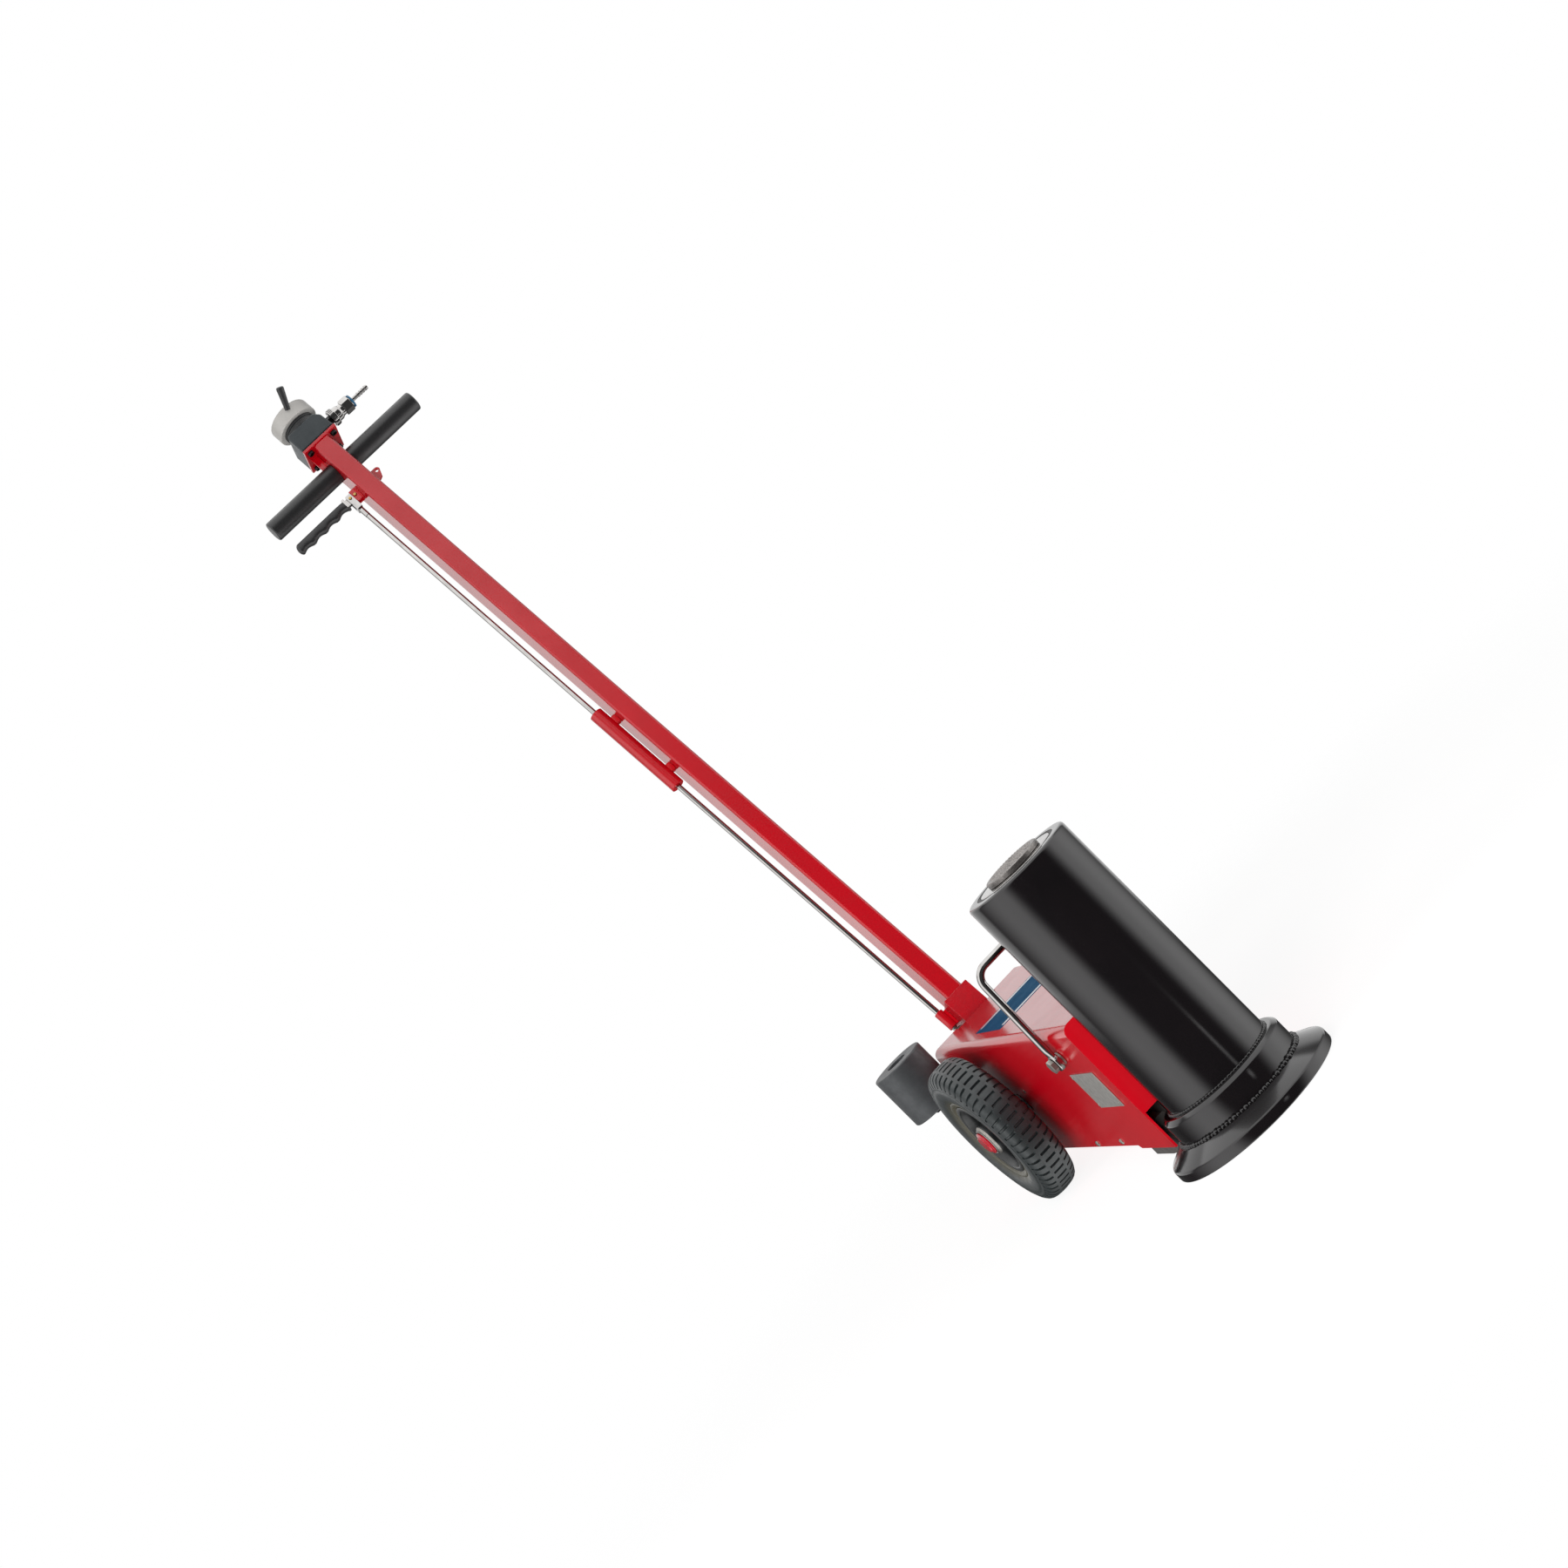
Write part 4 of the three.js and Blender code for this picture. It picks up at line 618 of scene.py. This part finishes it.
# Across one pitch: where a section stands, and which row of slots is pressed in there.
TREAD_COLUMNS = [(0.00, 0), (0.04, 1), (0.26, 1), (0.30, 0), (0.37, 2), (0.59, 2), (0.63, 0),
                 (0.70, 3), (0.92, 3), (0.96, 0)]
TYRE_SECTION = [  # (radius, width from the middle, row of slots this point belongs to)
    (55.6, 19.6, 0), (59.7, 20, 0), (61.8, 22.1, 0), (65.9, 23.5, 0), (68, 22.9, 0),
    (70, 24.3, 0), (78.3, 26.3, 0), (88.6, 26.7, 0), (93.7, 26.7, 0), (95.2, 26, 0),
    (96.8, 26.5, 0), (99.5, 25.9, 0), (101, 25.6, 1), (106.1, 23.6, 1), (109.7, 20.9, 1),
    (111.8, 17.7, 1), (113, 14, 1), (113.4, 12, 0), (113.8, 8.6, 0), (114, 7.2, 2),
    (114.3, 2, 2), (114.3, -2, 2), (114, -7.2, 2), (113.8, -8.6, 0), (113.4, -12, 0),
    (113, -14, 3), (111.8, -17.7, 3), (109.7, -20.9, 3), (106.1, -23.6, 3), (101, -25.6, 3),
    (99.5, -25.9, 0), (96.8, -26.5, 0), (95.2, -26, 0), (93.7, -26.7, 0), (88.6, -26.7, 0),
    (78.3, -26.3, 0), (70, -24.3, 0), (68, -22.9, 0), (65.9, -23.5, 0), (61.8, -22.1, 0),
    (59.7, -20, 0), (55.6, -19.6, 0)]


def tyre(name, node, centre):
    """One tyre with its slots, standing on the Y axis through centre."""
    shape = bmesh.new()
    rings = []
    for pitch in range(TREAD_PITCHES):
        for place, pressed in TREAD_COLUMNS:
            angle = 2 * math.pi * (pitch + place) / TREAD_PITCHES
            ring = []
            for radius, width, row in TYRE_SECTION:
                r = radius - (SLOT_DEPTH if row and row == pressed else 0)
                ring.append(shape.verts.new((r * math.sin(angle), width, r * math.cos(angle))))
            rings.append(ring)
    skin(shape, rings, joined=True)
    return keep(name, shape, body_of[node], TYRE_RUBBER, (node,),
                Matrix.Translation(centre), crease=45)


# %% Dust on the bead
rubber = TYRE_RUBBER.node_tree
coat = next(n for n in rubber.nodes if n.bl_idname == "ShaderNodeBsdfPrincipled")
axle_point = joint["left_wheel_spin"]["pos_m"]
from_axle = add(rubber, "ShaderNodeVectorMath", {
    0: add(rubber, "ShaderNodeTexCoord").outputs["Object"],
    1: (axle_point[0], 0, axle_point[2])}, operation="SUBTRACT")
flat = add(rubber, "ShaderNodeVectorMath", {0: from_axle.outputs[0], 1: (1, 0, 1)},
           operation="MULTIPLY")
out_from_axle = add(rubber, "ShaderNodeVectorMath", {0: flat.outputs[0]}, operation="LENGTH")
near_bead = add(rubber, "ShaderNodeMapRange", {
    "Value": out_from_axle.outputs["Value"], "From Min": 78 * MM, "From Max": 64 * MM})
dusty = add(rubber, "ShaderNodeMix", {
    0: near_bead.outputs[0], 6: coat.inputs["Base Color"].links[0].from_socket,
    7: linear("#4C493C")}, data_type="RGBA")
rubber.links.new(dusty.outputs[2], coat.inputs["Base Color"])
print("tyre of", TREAD_PITCHES, "pitches")


# %% Both wheels
for side, sign in (("left", 1), ("right", -1)):
    centre = Vector(joint[f"{side}_wheel_spin"]["pos_m"]) / MM
    out = Matrix.Translation(centre) @ Matrix.Rotation(-sign * math.pi / 2, 4, "X")
    tyre(f"{side}_tyre", f"{side}_wheel_tyre", centre)
    turned(f"{side}_rim", [
        (14.3, -26.2), (22.7, -26.2, 1), (22.7, -10.2), (49.6, -10.2, 3), (49.6, -21.9, 1),
        (58.7, -21.9, 0.8), (58.7, -19.9), (55.3, -19.9), (55.3, 19.9), (58.7, 19.9),
        (58.7, 21.9, 0.8), (51.5, 21.9, 1.5), (48.4, 12.4, 3), (47.4, -3, 5), (41.2, -6.2, 4),
        (24.7, -6.2, 3), (22.7, 20.6, 1.5), (20.1, 26.2, 1), (14.3, 26.2)],
        f"{side}_wheel_rim", RIM_NYLON, turn=out, closed=True, sides=128)
    turned(f"{side}_bearing", [(10.4, -26.2), (14, -26.2, 0.5), (14, 26.2, 0.5), (10.4, 26.2)],
           f"{side}_wheel_bearing", STEEL, turn=out, closed=True, sides=48)
    turned(f"{side}_cap", [
        (0, 26.6), (17.5, 26.6, 0.6), (17.5, 28.9, 0.6), (13, 29.9, 0.8), (12.6, 32, 1.2),
        (5, 31.5), (0, 32.1)], f"{side}_wheel_hub_cap", RED_CAP, turn=out, sides=64)
    hub_ring = bmesh.new()
    spin_mesh(hub_ring, [(18.1, 26), (22.2, 21.5), (23.3, 22, 0.4), (19, 27.1, 0.8)],
              closed=True, sides=64)
    keep(f"{side}_hub_ring", hub_ring, body_of[f"{side}_wheel_rim"], ZINC,
         (), out)
print("two wheels")

# %% [markdown]
# ## Axle, pump and air motor
# These sit under the cover and show only from below or behind, so they stay simple turned
# pieces with the right metals.

# %% Turned pieces under the cover
def along_y(centre):
    """A lathe piece lying on the Y axis."""
    return Matrix.Translation(centre) @ Matrix.Rotation(-math.pi / 2, 4, "X")


def along_x(centre):
    """A lathe piece lying on the X axis."""
    return Matrix.Translation(centre) @ Matrix.Rotation(math.pi / 2, 4, "Y")


wheel_place = Vector(joint["left_wheel_spin"]["pos_m"]) / MM
turned("axle_bar", [
    (0, -159.1), (10, -159.1, 1), (10, -106.2), (16, -106.2, 1), (16, -87.3, 1), (10, -87.3),
    (10, 87.3), (16, 87.3, 1), (16, 106.2, 1), (10, 106.2), (10, 159.1, 1), (0, 159.1)],
    "axle", OXIDE, turn=along_y((wheel_place.x, 0, wheel_place.z)), sides=48)
turned("motor_barrel", [(50, -351.8), (55, -351.8, 0.6), (55, -344, 1), (54, -342, 1),
                        (54, -222, 1), (55, -220, 1), (55, -211.8, 0.6), (50, -211.8)],
       "air_motor_barrel", ALUMINIUM, turn=along_x((0, 0, 105)), closed=True)
turned("motor_cap", [(0, -358.1), (53, -358.1, 1), (55, -356.1, 0.6), (55, -352.1), (0, -352.1)],
       "air_motor_cap", ALUMINIUM, turn=along_x((0, 0, 105)))
turned("motor_muffler", [
    (4.5, -305.8), (17, -305.8, 1), (20, -302.8, 1), (20, -224.8, 1), (17, -221.8, 1),
    (9, -221.8, 0.5), (9, -211.8), (4.5, -211.8)],
    "exhaust_muffler", ALUMINIUM, turn=along_x((0, 0, 183)), closed=True)
for node in ("air_piston", "ram_piston", "pressure_cylinder"):
    softened(node, STEEL, 0.4)
softened("piston_seal", SEAL_RUBBER, 0.4)
print("axle, motor and hydraulic pieces")

# %% [markdown]
# ## Carrying bail
# The bail is 10 mm chromed rod bent into a wide hoop, with its ends forged into flat eyes.
# Sweeping a circle along the bent line keeps the bends round; the eyes are short discs.

# %% Bail
BAIL_HALF, BAIL_TOP, BAIL_BEND, BAIL_ROD, BAIL_LEAN = 95, 146, 18, 5, 6
bail_place = Vector(joint["bail_swing"]["pos_m"]) / MM
bail_frame = Matrix.Translation(bail_place) @ Matrix.Rotation(math.radians(BAIL_LEAN), 4, "Y")


def swept(shape, path, section):
    """Sweeps (x, sideways) points along a path in the YZ plane. Each path point brings the
    scale of its section."""
    rings = []
    for i, (point, scale) in enumerate(path):
        before, after = path[max(i - 1, 0)][0], path[min(i + 1, len(path) - 1)][0]
        ahead = (after - before).normalized()
        side = Vector((0, ahead.z, -ahead.y))
        rings.append([shape.verts.new(point + Vector((1, 0, 0)) * x * scale[0]
                                      + side * w * scale[1]) for x, w in section])
    skin(shape, rings)
    shape.faces.new(rings[0])
    shape.faces.new(rings[-1])


def ring_section(radius, count):
    """Points of a circle as (x, sideways)."""
    return [(radius * math.cos(a), radius * math.sin(a))
            for a in (2 * math.pi * k / count for k in range(count))]


hoop = [(Vector((0, -BAIL_HALF, 9)), (1.7, 0.75)), (Vector((0, -BAIL_HALF, 14)), (1.35, 0.9)),
        (Vector((0, -BAIL_HALF, 20)), (1.05, 1)), (Vector((0, -BAIL_HALF, 26)), (1, 1)),
        (Vector((0, -BAIL_HALF, BAIL_TOP - BAIL_BEND)), (1, 1))]
for step in range(1, 12):
    angle = math.radians(90 * step / 12)
    hoop.append((Vector((0, -BAIL_HALF + BAIL_BEND * (1 - math.cos(angle)),
                         BAIL_TOP - BAIL_BEND * (1 - math.sin(angle)))), (1, 1)))
hoop.append((Vector((0, -BAIL_HALF + BAIL_BEND, BAIL_TOP)), (1, 1)))
hoop += [(Vector((0, -point.y, point.z)), scale) for point, scale in reversed(hoop)]
bail = bmesh.new()
swept(bail, hoop, ring_section(BAIL_ROD, 28))
for sign in (-1, 1):
    eye = bmesh.new()
    spin_mesh(eye, [(6.1, -4), (12, -4, 1.6), (12, 4, 1.6), (6.1, 4)], closed=True, sides=48)
    eye.transform(Matrix.Translation((0, sign * BAIL_HALF, 0))
                  @ Matrix.Rotation(math.pi / 2, 4, "X"))
    merge(bail, eye)
keep("bail_hoop", bail, "bail", CHROME, ("carry_bail",), bail_frame, 40)
print("bail hoop of", len(hoop), "sections")

# %% [markdown]
# ## Handle head
# Everything on the handle is drawn in the handle's own frame, which starts at the hinge and
# leans back with the tube. A second frame starts at the end of the tube.

# %% The two frames
HANDLE_LEAN, TUBE_END = -19.5, 1375.7
hinge = Vector(joint["handle_swing"]["pos_m"]) / MM
handle_frame = Matrix.Translation(hinge) @ Matrix.Rotation(math.radians(HANDLE_LEAN), 4, "Y")
head_frame = handle_frame @ Matrix.Translation((0, 0, TUBE_END))
print("hinge at", tuple(round(v, 1) for v in hinge))

# %% Grips
for side, sign in (("left", 1), ("right", -1)):
    lying = head_frame @ Matrix.Translation((0, 0, -42.2)) @ Matrix.Rotation(
        -sign * math.pi / 2, 4, "X")
    turned(f"{side}_grip_tube", [
        (11.3, 15.3), (16.5, 15.3, 0.8), (16.5, 148.3, 3.2), (0, 148.3), (0, 143.3),
        (11.3, 143.3)], f"grip_{side}", GRIP_RUBBER, turn=lying, sides=72)
softened("grip_bar", STEEL, 0.6)
print("two grips")

# %% [markdown]
# The lever's grip is moulded with four finger hollows underneath. It is lofted: at each of
# many stations along its length a rounded section is stretched between the straight top
# line and the scalloped bottom line.

# %% Lever grip
LEVER_HEIGHT, GRIP_START, GRIP_LENGTH, FINGERS = -92.7, -45.3, 99.1, 4
FINGER_DEPTH = 3.2


def grip_station(t):
    """Top, bottom and half thickness of the grip at a share t of its length."""
    finger = (t * FINGERS) % 1.0
    scallop = FINGER_DEPTH * math.sin(math.pi * min(finger / 0.82, 1.0)) if t < 0.98 else 0.0
    top = 7.2 - 0.9 * math.exp(-t * 30)
    bottom = -8.6 - 2.4 * t + scallop
    end = max(0.0, (t - 0.93) / 0.07)
    close = math.sqrt(max(0.0, 1 - end ** 2))
    middle = (top + bottom) / 2
    half = (top - bottom) / 2 * close
    return middle, half, (7.5 - 0.7 * scallop / FINGER_DEPTH) * (0.25 + 0.75 * close)


lever = bmesh.new()
stations, around_count = 96, 32
grip_rings = []
for i in range(stations + 1):
    t = i / stations
    middle, half, thick = grip_station(t)
    y = GRIP_START - GRIP_LENGTH * t
    ring = []
    for k in range(around_count):
        a = 2 * math.pi * k / around_count
        square = 0.62  # below 1 squares the oval's shoulders
        x = math.copysign(abs(math.cos(a)) ** square, math.cos(a)) * thick
        z = math.copysign(abs(math.sin(a)) ** square, math.sin(a)) * max(half, 0.05)
        ring.append(lever.verts.new((x, y, LEVER_HEIGHT + middle + z)))
    grip_rings.append(ring)
skin(lever, grip_rings)
lever.faces.new(grip_rings[0])
lever.faces.new(grip_rings[-1])
keep("lever_grip_moulded", lever, "release_lever", GRIP_RUBBER,
     ("lever_grip",), head_frame, crease=60)
print("lever grip of", stations, "stations")

# %% Rod and pins
LOCK_Y = -32.5
rod_frame = handle_frame @ Matrix.Translation((0, LOCK_Y, 0))
turned("lock_rod_bar", [(0, 58), (3, 58, 0.4), (4, 59.5, 0.5), (4, 1245.4, 0.5), (0, 1245.4)],
       "lock_rod", CHROME, turn=rod_frame, sides=32)
for node, y, reach in (("lever_pivot_pin", -22.8, 8.4), ("clevis_pin", LOCK_Y, 9.5)):
    lying = head_frame @ Matrix.Translation((0, y, LEVER_HEIGHT)) @ Matrix.Rotation(
        math.pi / 2, 4, "Y")
    turned(node + "_rivet", [(0, -reach), (2.5, -reach, 0.6), (2.5, reach, 0.6), (0, reach)],
           node, BRASS, turn=lying, sides=24)
print("lock rod and pins")

# %% Valve neck, knob and stick
turned("valve_neck_ring", [(0, 43.3), (28, 43.3, 0.6), (28, 48), (26.6, 49, 0.5), (26.6, 52),
                           (28, 53), (28, 57.3, 0.6), (0, 57.3)],
       "valve_neck", BLACK_NYLON, turn=head_frame)
turned("knob_cap", [
    (0, 57.7), (34.4, 57.7, 0.8), (35.5, 58.6, 0.6), (35.5, 81.7, 3.2), (24, 81.7, 0.8),
    (22, 78.9, 1), (0, 78.7)], "control_knob", GREY_ABS, turn=head_frame, sides=128)
aim = Vector((0.62, 0.36, 0.70)).normalized()
stick_frame = head_frame @ Matrix.Translation((33.45, 0, 69.7)) @ aim.to_track_quat(
    "Z", "Y").to_matrix().to_4x4()
turned("knob_stick_bar", [(0, 3.4), (4.2, 3.4), (6.1, 38, 2), (5, 39.9, 1.5), (0, 40)],
       "knob_stick", BLACK_NYLON, turn=stick_frame, sides=40)
print("neck, knob and stick")

# %% [markdown]
# The air line plugs in through a quick coupler: a knurled sleeve over a waisted body, a
# hexagon, a plastic band and a barbed tail. The hexagon is the only part that isn't turned.

# %% Air inlet
inlet_frame = head_frame @ Matrix.Translation((0, 0, 29.3)) @ Matrix.Rotation(
    -math.pi / 2, 4, "X")
turned("inlet_nipple_thread", [(0, 32.3), (7.5, 32.3), (7.5, 41, 0.6), (0, 41)],
       "inlet_nipple", BLACK_SCREW, turn=inlet_frame, sides=6)
body_shape = bmesh.new()
spin_mesh(body_shape, [
    (0, 41.3), (10.6, 41.3, 0.5), (11.7, 42.4, 0.5), (11.7, 57, 1), (11.2, 59, 1),
    (9.5, 61.5, 1.5), (9.5, 66, 0.6), (0, 66)], sides=64)
spin_mesh(body_shape, [(0, 66), (11.4, 66, 0.4), (13, 67.4, 0.3), (13, 80.6, 0.3),
                       (11.4, 82, 0.4), (0, 82)], sides=6)
keep("coupler_body_turned", body_shape, "handle", CHROME,
     ("coupler_body",), inlet_frame, crease=24)
turned("coupler_sleeve_turned", [(12.1, 42), (13.4, 42, 0.4), (13.7, 43), (13.7, 50),
                                 (13.4, 51, 0.4), (12.1, 51)],
       "coupler_sleeve", CHROME, turn=inlet_frame, closed=True, sides=64)
knurl = bmesh.new()
bmesh.ops.create_cube(knurl, size=1.0)
bmesh.ops.scale(knurl, vec=(1.0, 1.1, 6.4), verts=knurl.verts)
ring_of("coupler_knurl", knurl, CHROME, 34, 13.9, 46.5, "coupler_sleeve", turn=inlet_frame)
turned("coupler_band_moulded", [(0, 82.3), (11, 82.3, 0.5), (11, 85, 0.5), (0, 85)],
       "coupler_band", BLUE_ACETAL, turn=inlet_frame, sides=64)
barbs = [(0, 85.3), (3.4, 85.3), (3.4, 97)]
for number in range(4):
    start = 97.3 + 5.05 * number
    barbs += [(4.3, start, 0.2), (3.4, start + 4.5)]
turned("hose_tail_barbs", barbs + [(2.4, 117.5, 0.5), (0, 117.5)], "hose_tail", CHROME,
       turn=inlet_frame, sides=40)
print("air inlet")

# %% [markdown]
# ## Saddle extension
# The spare extension stands on a peg beside the chassis. It is a solid turned block with a
# dished top, dipped in dark phosphate.

# %% Extension
extension_low, extension_high = (Vector(corner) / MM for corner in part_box("saddle_extension"))
middle = (extension_low + extension_high) / 2
turned("extension_block", [
    (10.5, 0, 0.6), (39, 0, 0.8), (40.5, 1.5, 0.8), (40.5, 80.5, 0.8), (39, 82, 0.8),
    (16, 82, 0.6), (16, 78, 0.6), (0, 78), (0, 38), (10.5, 38)],
    "saddle_extension", OXIDE, sides=128,
    turn=Matrix.Translation((middle.x, middle.y, extension_low.z)))
print("extension at", tuple(round(v, 1) for v in middle))

# %% [markdown]
# ## Fasteners
# Rivets hold the blank rating plate, button screws hold the pump inside the cover, and four
# socket screws come up through the head plate. The tree copies the rivets and the button
# screws to their places, and a short loop sets the four under the head plate.


# %% Fastener shapes
def button_head(radius, height):
    """A low domed head with its flat side on Z = 0."""
    shape = bmesh.new()
    spin_mesh(shape, [(0, 0), (radius, 0, 0.2), (radius * 0.96, height * 0.35, 0.3),
                      (radius * 0.7, height * 0.86, radius * 0.3), (0, height)], sides=24)
    return shape


def fasteners(name, shape, points, turn, material, node):
    """Copies a head to places in mm, all turned the same way."""
    return grown(name, spot_tree, shape, points, {"Material": material, "Rotation": turn},
                 body_of[node])


# %% Rivets and screws
LEFT, RIGHT = (-math.pi / 2, 0, 0), (math.pi / 2, 0, 0)
PUMP_SCREWS, SIDE_RIVET = ((-356, 36.8), (-246, 38.6)), (-452, 134)
plate_low, plate_high = (Vector(corner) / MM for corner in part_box("data_plate"))
corners = [(x, plate_low.y, z) for x in (plate_low.x + 5, plate_high.x - 5)
           for z in (plate_low.z + 5, plate_high.z - 5)]
fasteners("plate_rivets", button_head(2.6, 1.6), corners, RIGHT, ZINC, "data_plate")
cover_low, cover_high = (Vector(corner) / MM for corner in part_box("chassis_cover"))
for side, y, turn in (("right", cover_low.y, RIGHT), ("left", cover_high.y, LEFT)):
    fasteners(f"cover_screws_{side}", button_head(4.4, 2.4),
              [(x, y, z) for x, z in PUMP_SCREWS], turn, ZINC, "chassis_cover")
    fasteners(f"cover_rivet_{side}", button_head(2.4, 1.3),
              [(SIDE_RIVET[0], y, SIDE_RIVET[1])], turn, ZINC, "chassis_cover")
screws = bmesh.new()
for x in (-23.5, 23.5):
    for y in (-23.5, 23.5):
        place = Matrix.Translation((x, y, 0.3)) @ Matrix.Rotation(math.pi, 4, "X")
        head = bmesh.new()
        spin_mesh(head, [(0, 0), (5, 0), (5, 5, 0.6), (2.9, 5, 0.2), (2.9, 2.4), (0, 2.4)],
                  sides=36)
        head.transform(place)
        merge(screws, head)
keep("head_screws", screws, "handle", BLACK_SCREW, (), head_frame)
print("rivets and screws")

# %% [markdown]
# ## Plain film on the cover
# A blue vinyl panel crosses the top of the cover. It is left blank, with two thin white
# lines as a border.

# %% Vinyl panel
FILM_CORNER, FILM_THICKNESS, LINE_HALF = 4.0, 0.15, 5.2


def film(name, low, high, lift, material):
    """A thin flat panel with rounded corners, lying on the cover's top."""
    shape = bmesh.new()
    left, right = low[0] + FILM_CORNER, high[0] - FILM_CORNER
    front, back = low[1] + FILM_CORNER, high[1] - FILM_CORNER
    ring = []
    for cx, cy, first in ((right, back, 0), (left, back, 90), (left, front, 180),
                          (right, front, 270)):
        for step in range(5):
            a = math.radians(first + 22.5 * step)
            ring.append((cx + FILM_CORNER * math.cos(a), cy + FILM_CORNER * math.sin(a)))
    base = [shape.verts.new((x, y, cover_high.z + lift)) for x, y in ring]
    top = [shape.verts.new((x, y, cover_high.z + lift + FILM_THICKNESS)) for x, y in ring]
    shape.faces.new(base)
    shape.faces.new(top)
    skin(shape, [base, top])
    keep(name, shape, "root", material)


film("blue_panel", (-537, -62), (-405, 62), 0.02, BLUE_FILM)
for number, x in enumerate((-529, -415)):
    film(f"white_line_{number}", (x - LINE_HALF, -54), (x + LINE_HALF, 54), 0.10, WHITE_FILM)
print("vinyl panel")

# %% [markdown]
# ## Floor
# A white disc carries the jack's soft shadow. It glows a little, so that it is as white as
# the background, and fades out before its edge, so that no horizon shows.

# %% Floor
FLOOR_RADIUS, FADE_FROM, FADE_TO, FLOOR_GLOW = 1.6, 0.7, 1.5, 0.88
FLOOR_PAINT = finish("white studio floor", "#8C8C8C", "#888888", (0.75, 0.85), 400, 20, 0.01)
paint = FLOOR_PAINT.node_tree
coat = next(n for n in paint.nodes if n.bl_idname == "ShaderNodeBsdfPrincipled")
coat.inputs["Emission Color"].default_value = (1, 1, 1, 1)
coat.inputs["Emission Strength"].default_value = FLOOR_GLOW
coat.inputs["Specular IOR Level"].default_value = 0.0
reach = add(paint, "ShaderNodeVectorMath", {
    0: add(paint, "ShaderNodeTexCoord").outputs["Object"]}, operation="LENGTH")
solid = add(paint, "ShaderNodeMapRange", {
    "Value": reach.outputs["Value"], "From Min": FADE_FROM, "From Max": FADE_TO,
    "To Min": 1.0, "To Max": 0.0}, interpolation_type="SMOOTHSTEP")
paint.links.new(solid.outputs[0], coat.inputs["Alpha"])
disc = bmesh.new()
bmesh.ops.create_circle(disc, cap_ends=True, segments=96, radius=FLOOR_RADIUS)
floor_mesh = bpy.data.meshes.new("floor")
disc.to_mesh(floor_mesh)
disc.free()
floor_mesh.materials.append(FLOOR_PAINT)
floor = bpy.data.objects.new("floor", floor_mesh)
floor.location = (-0.35, 0, -0.0006)
floor.visible_glossy = False
bpy.context.scene.collection.objects.link(floor)
floor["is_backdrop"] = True
print("floor disc")

# %% Finish the file
size = {"cad": [list(corner) for corner in cad_box],
        "visual": [list(corner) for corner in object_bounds()]}
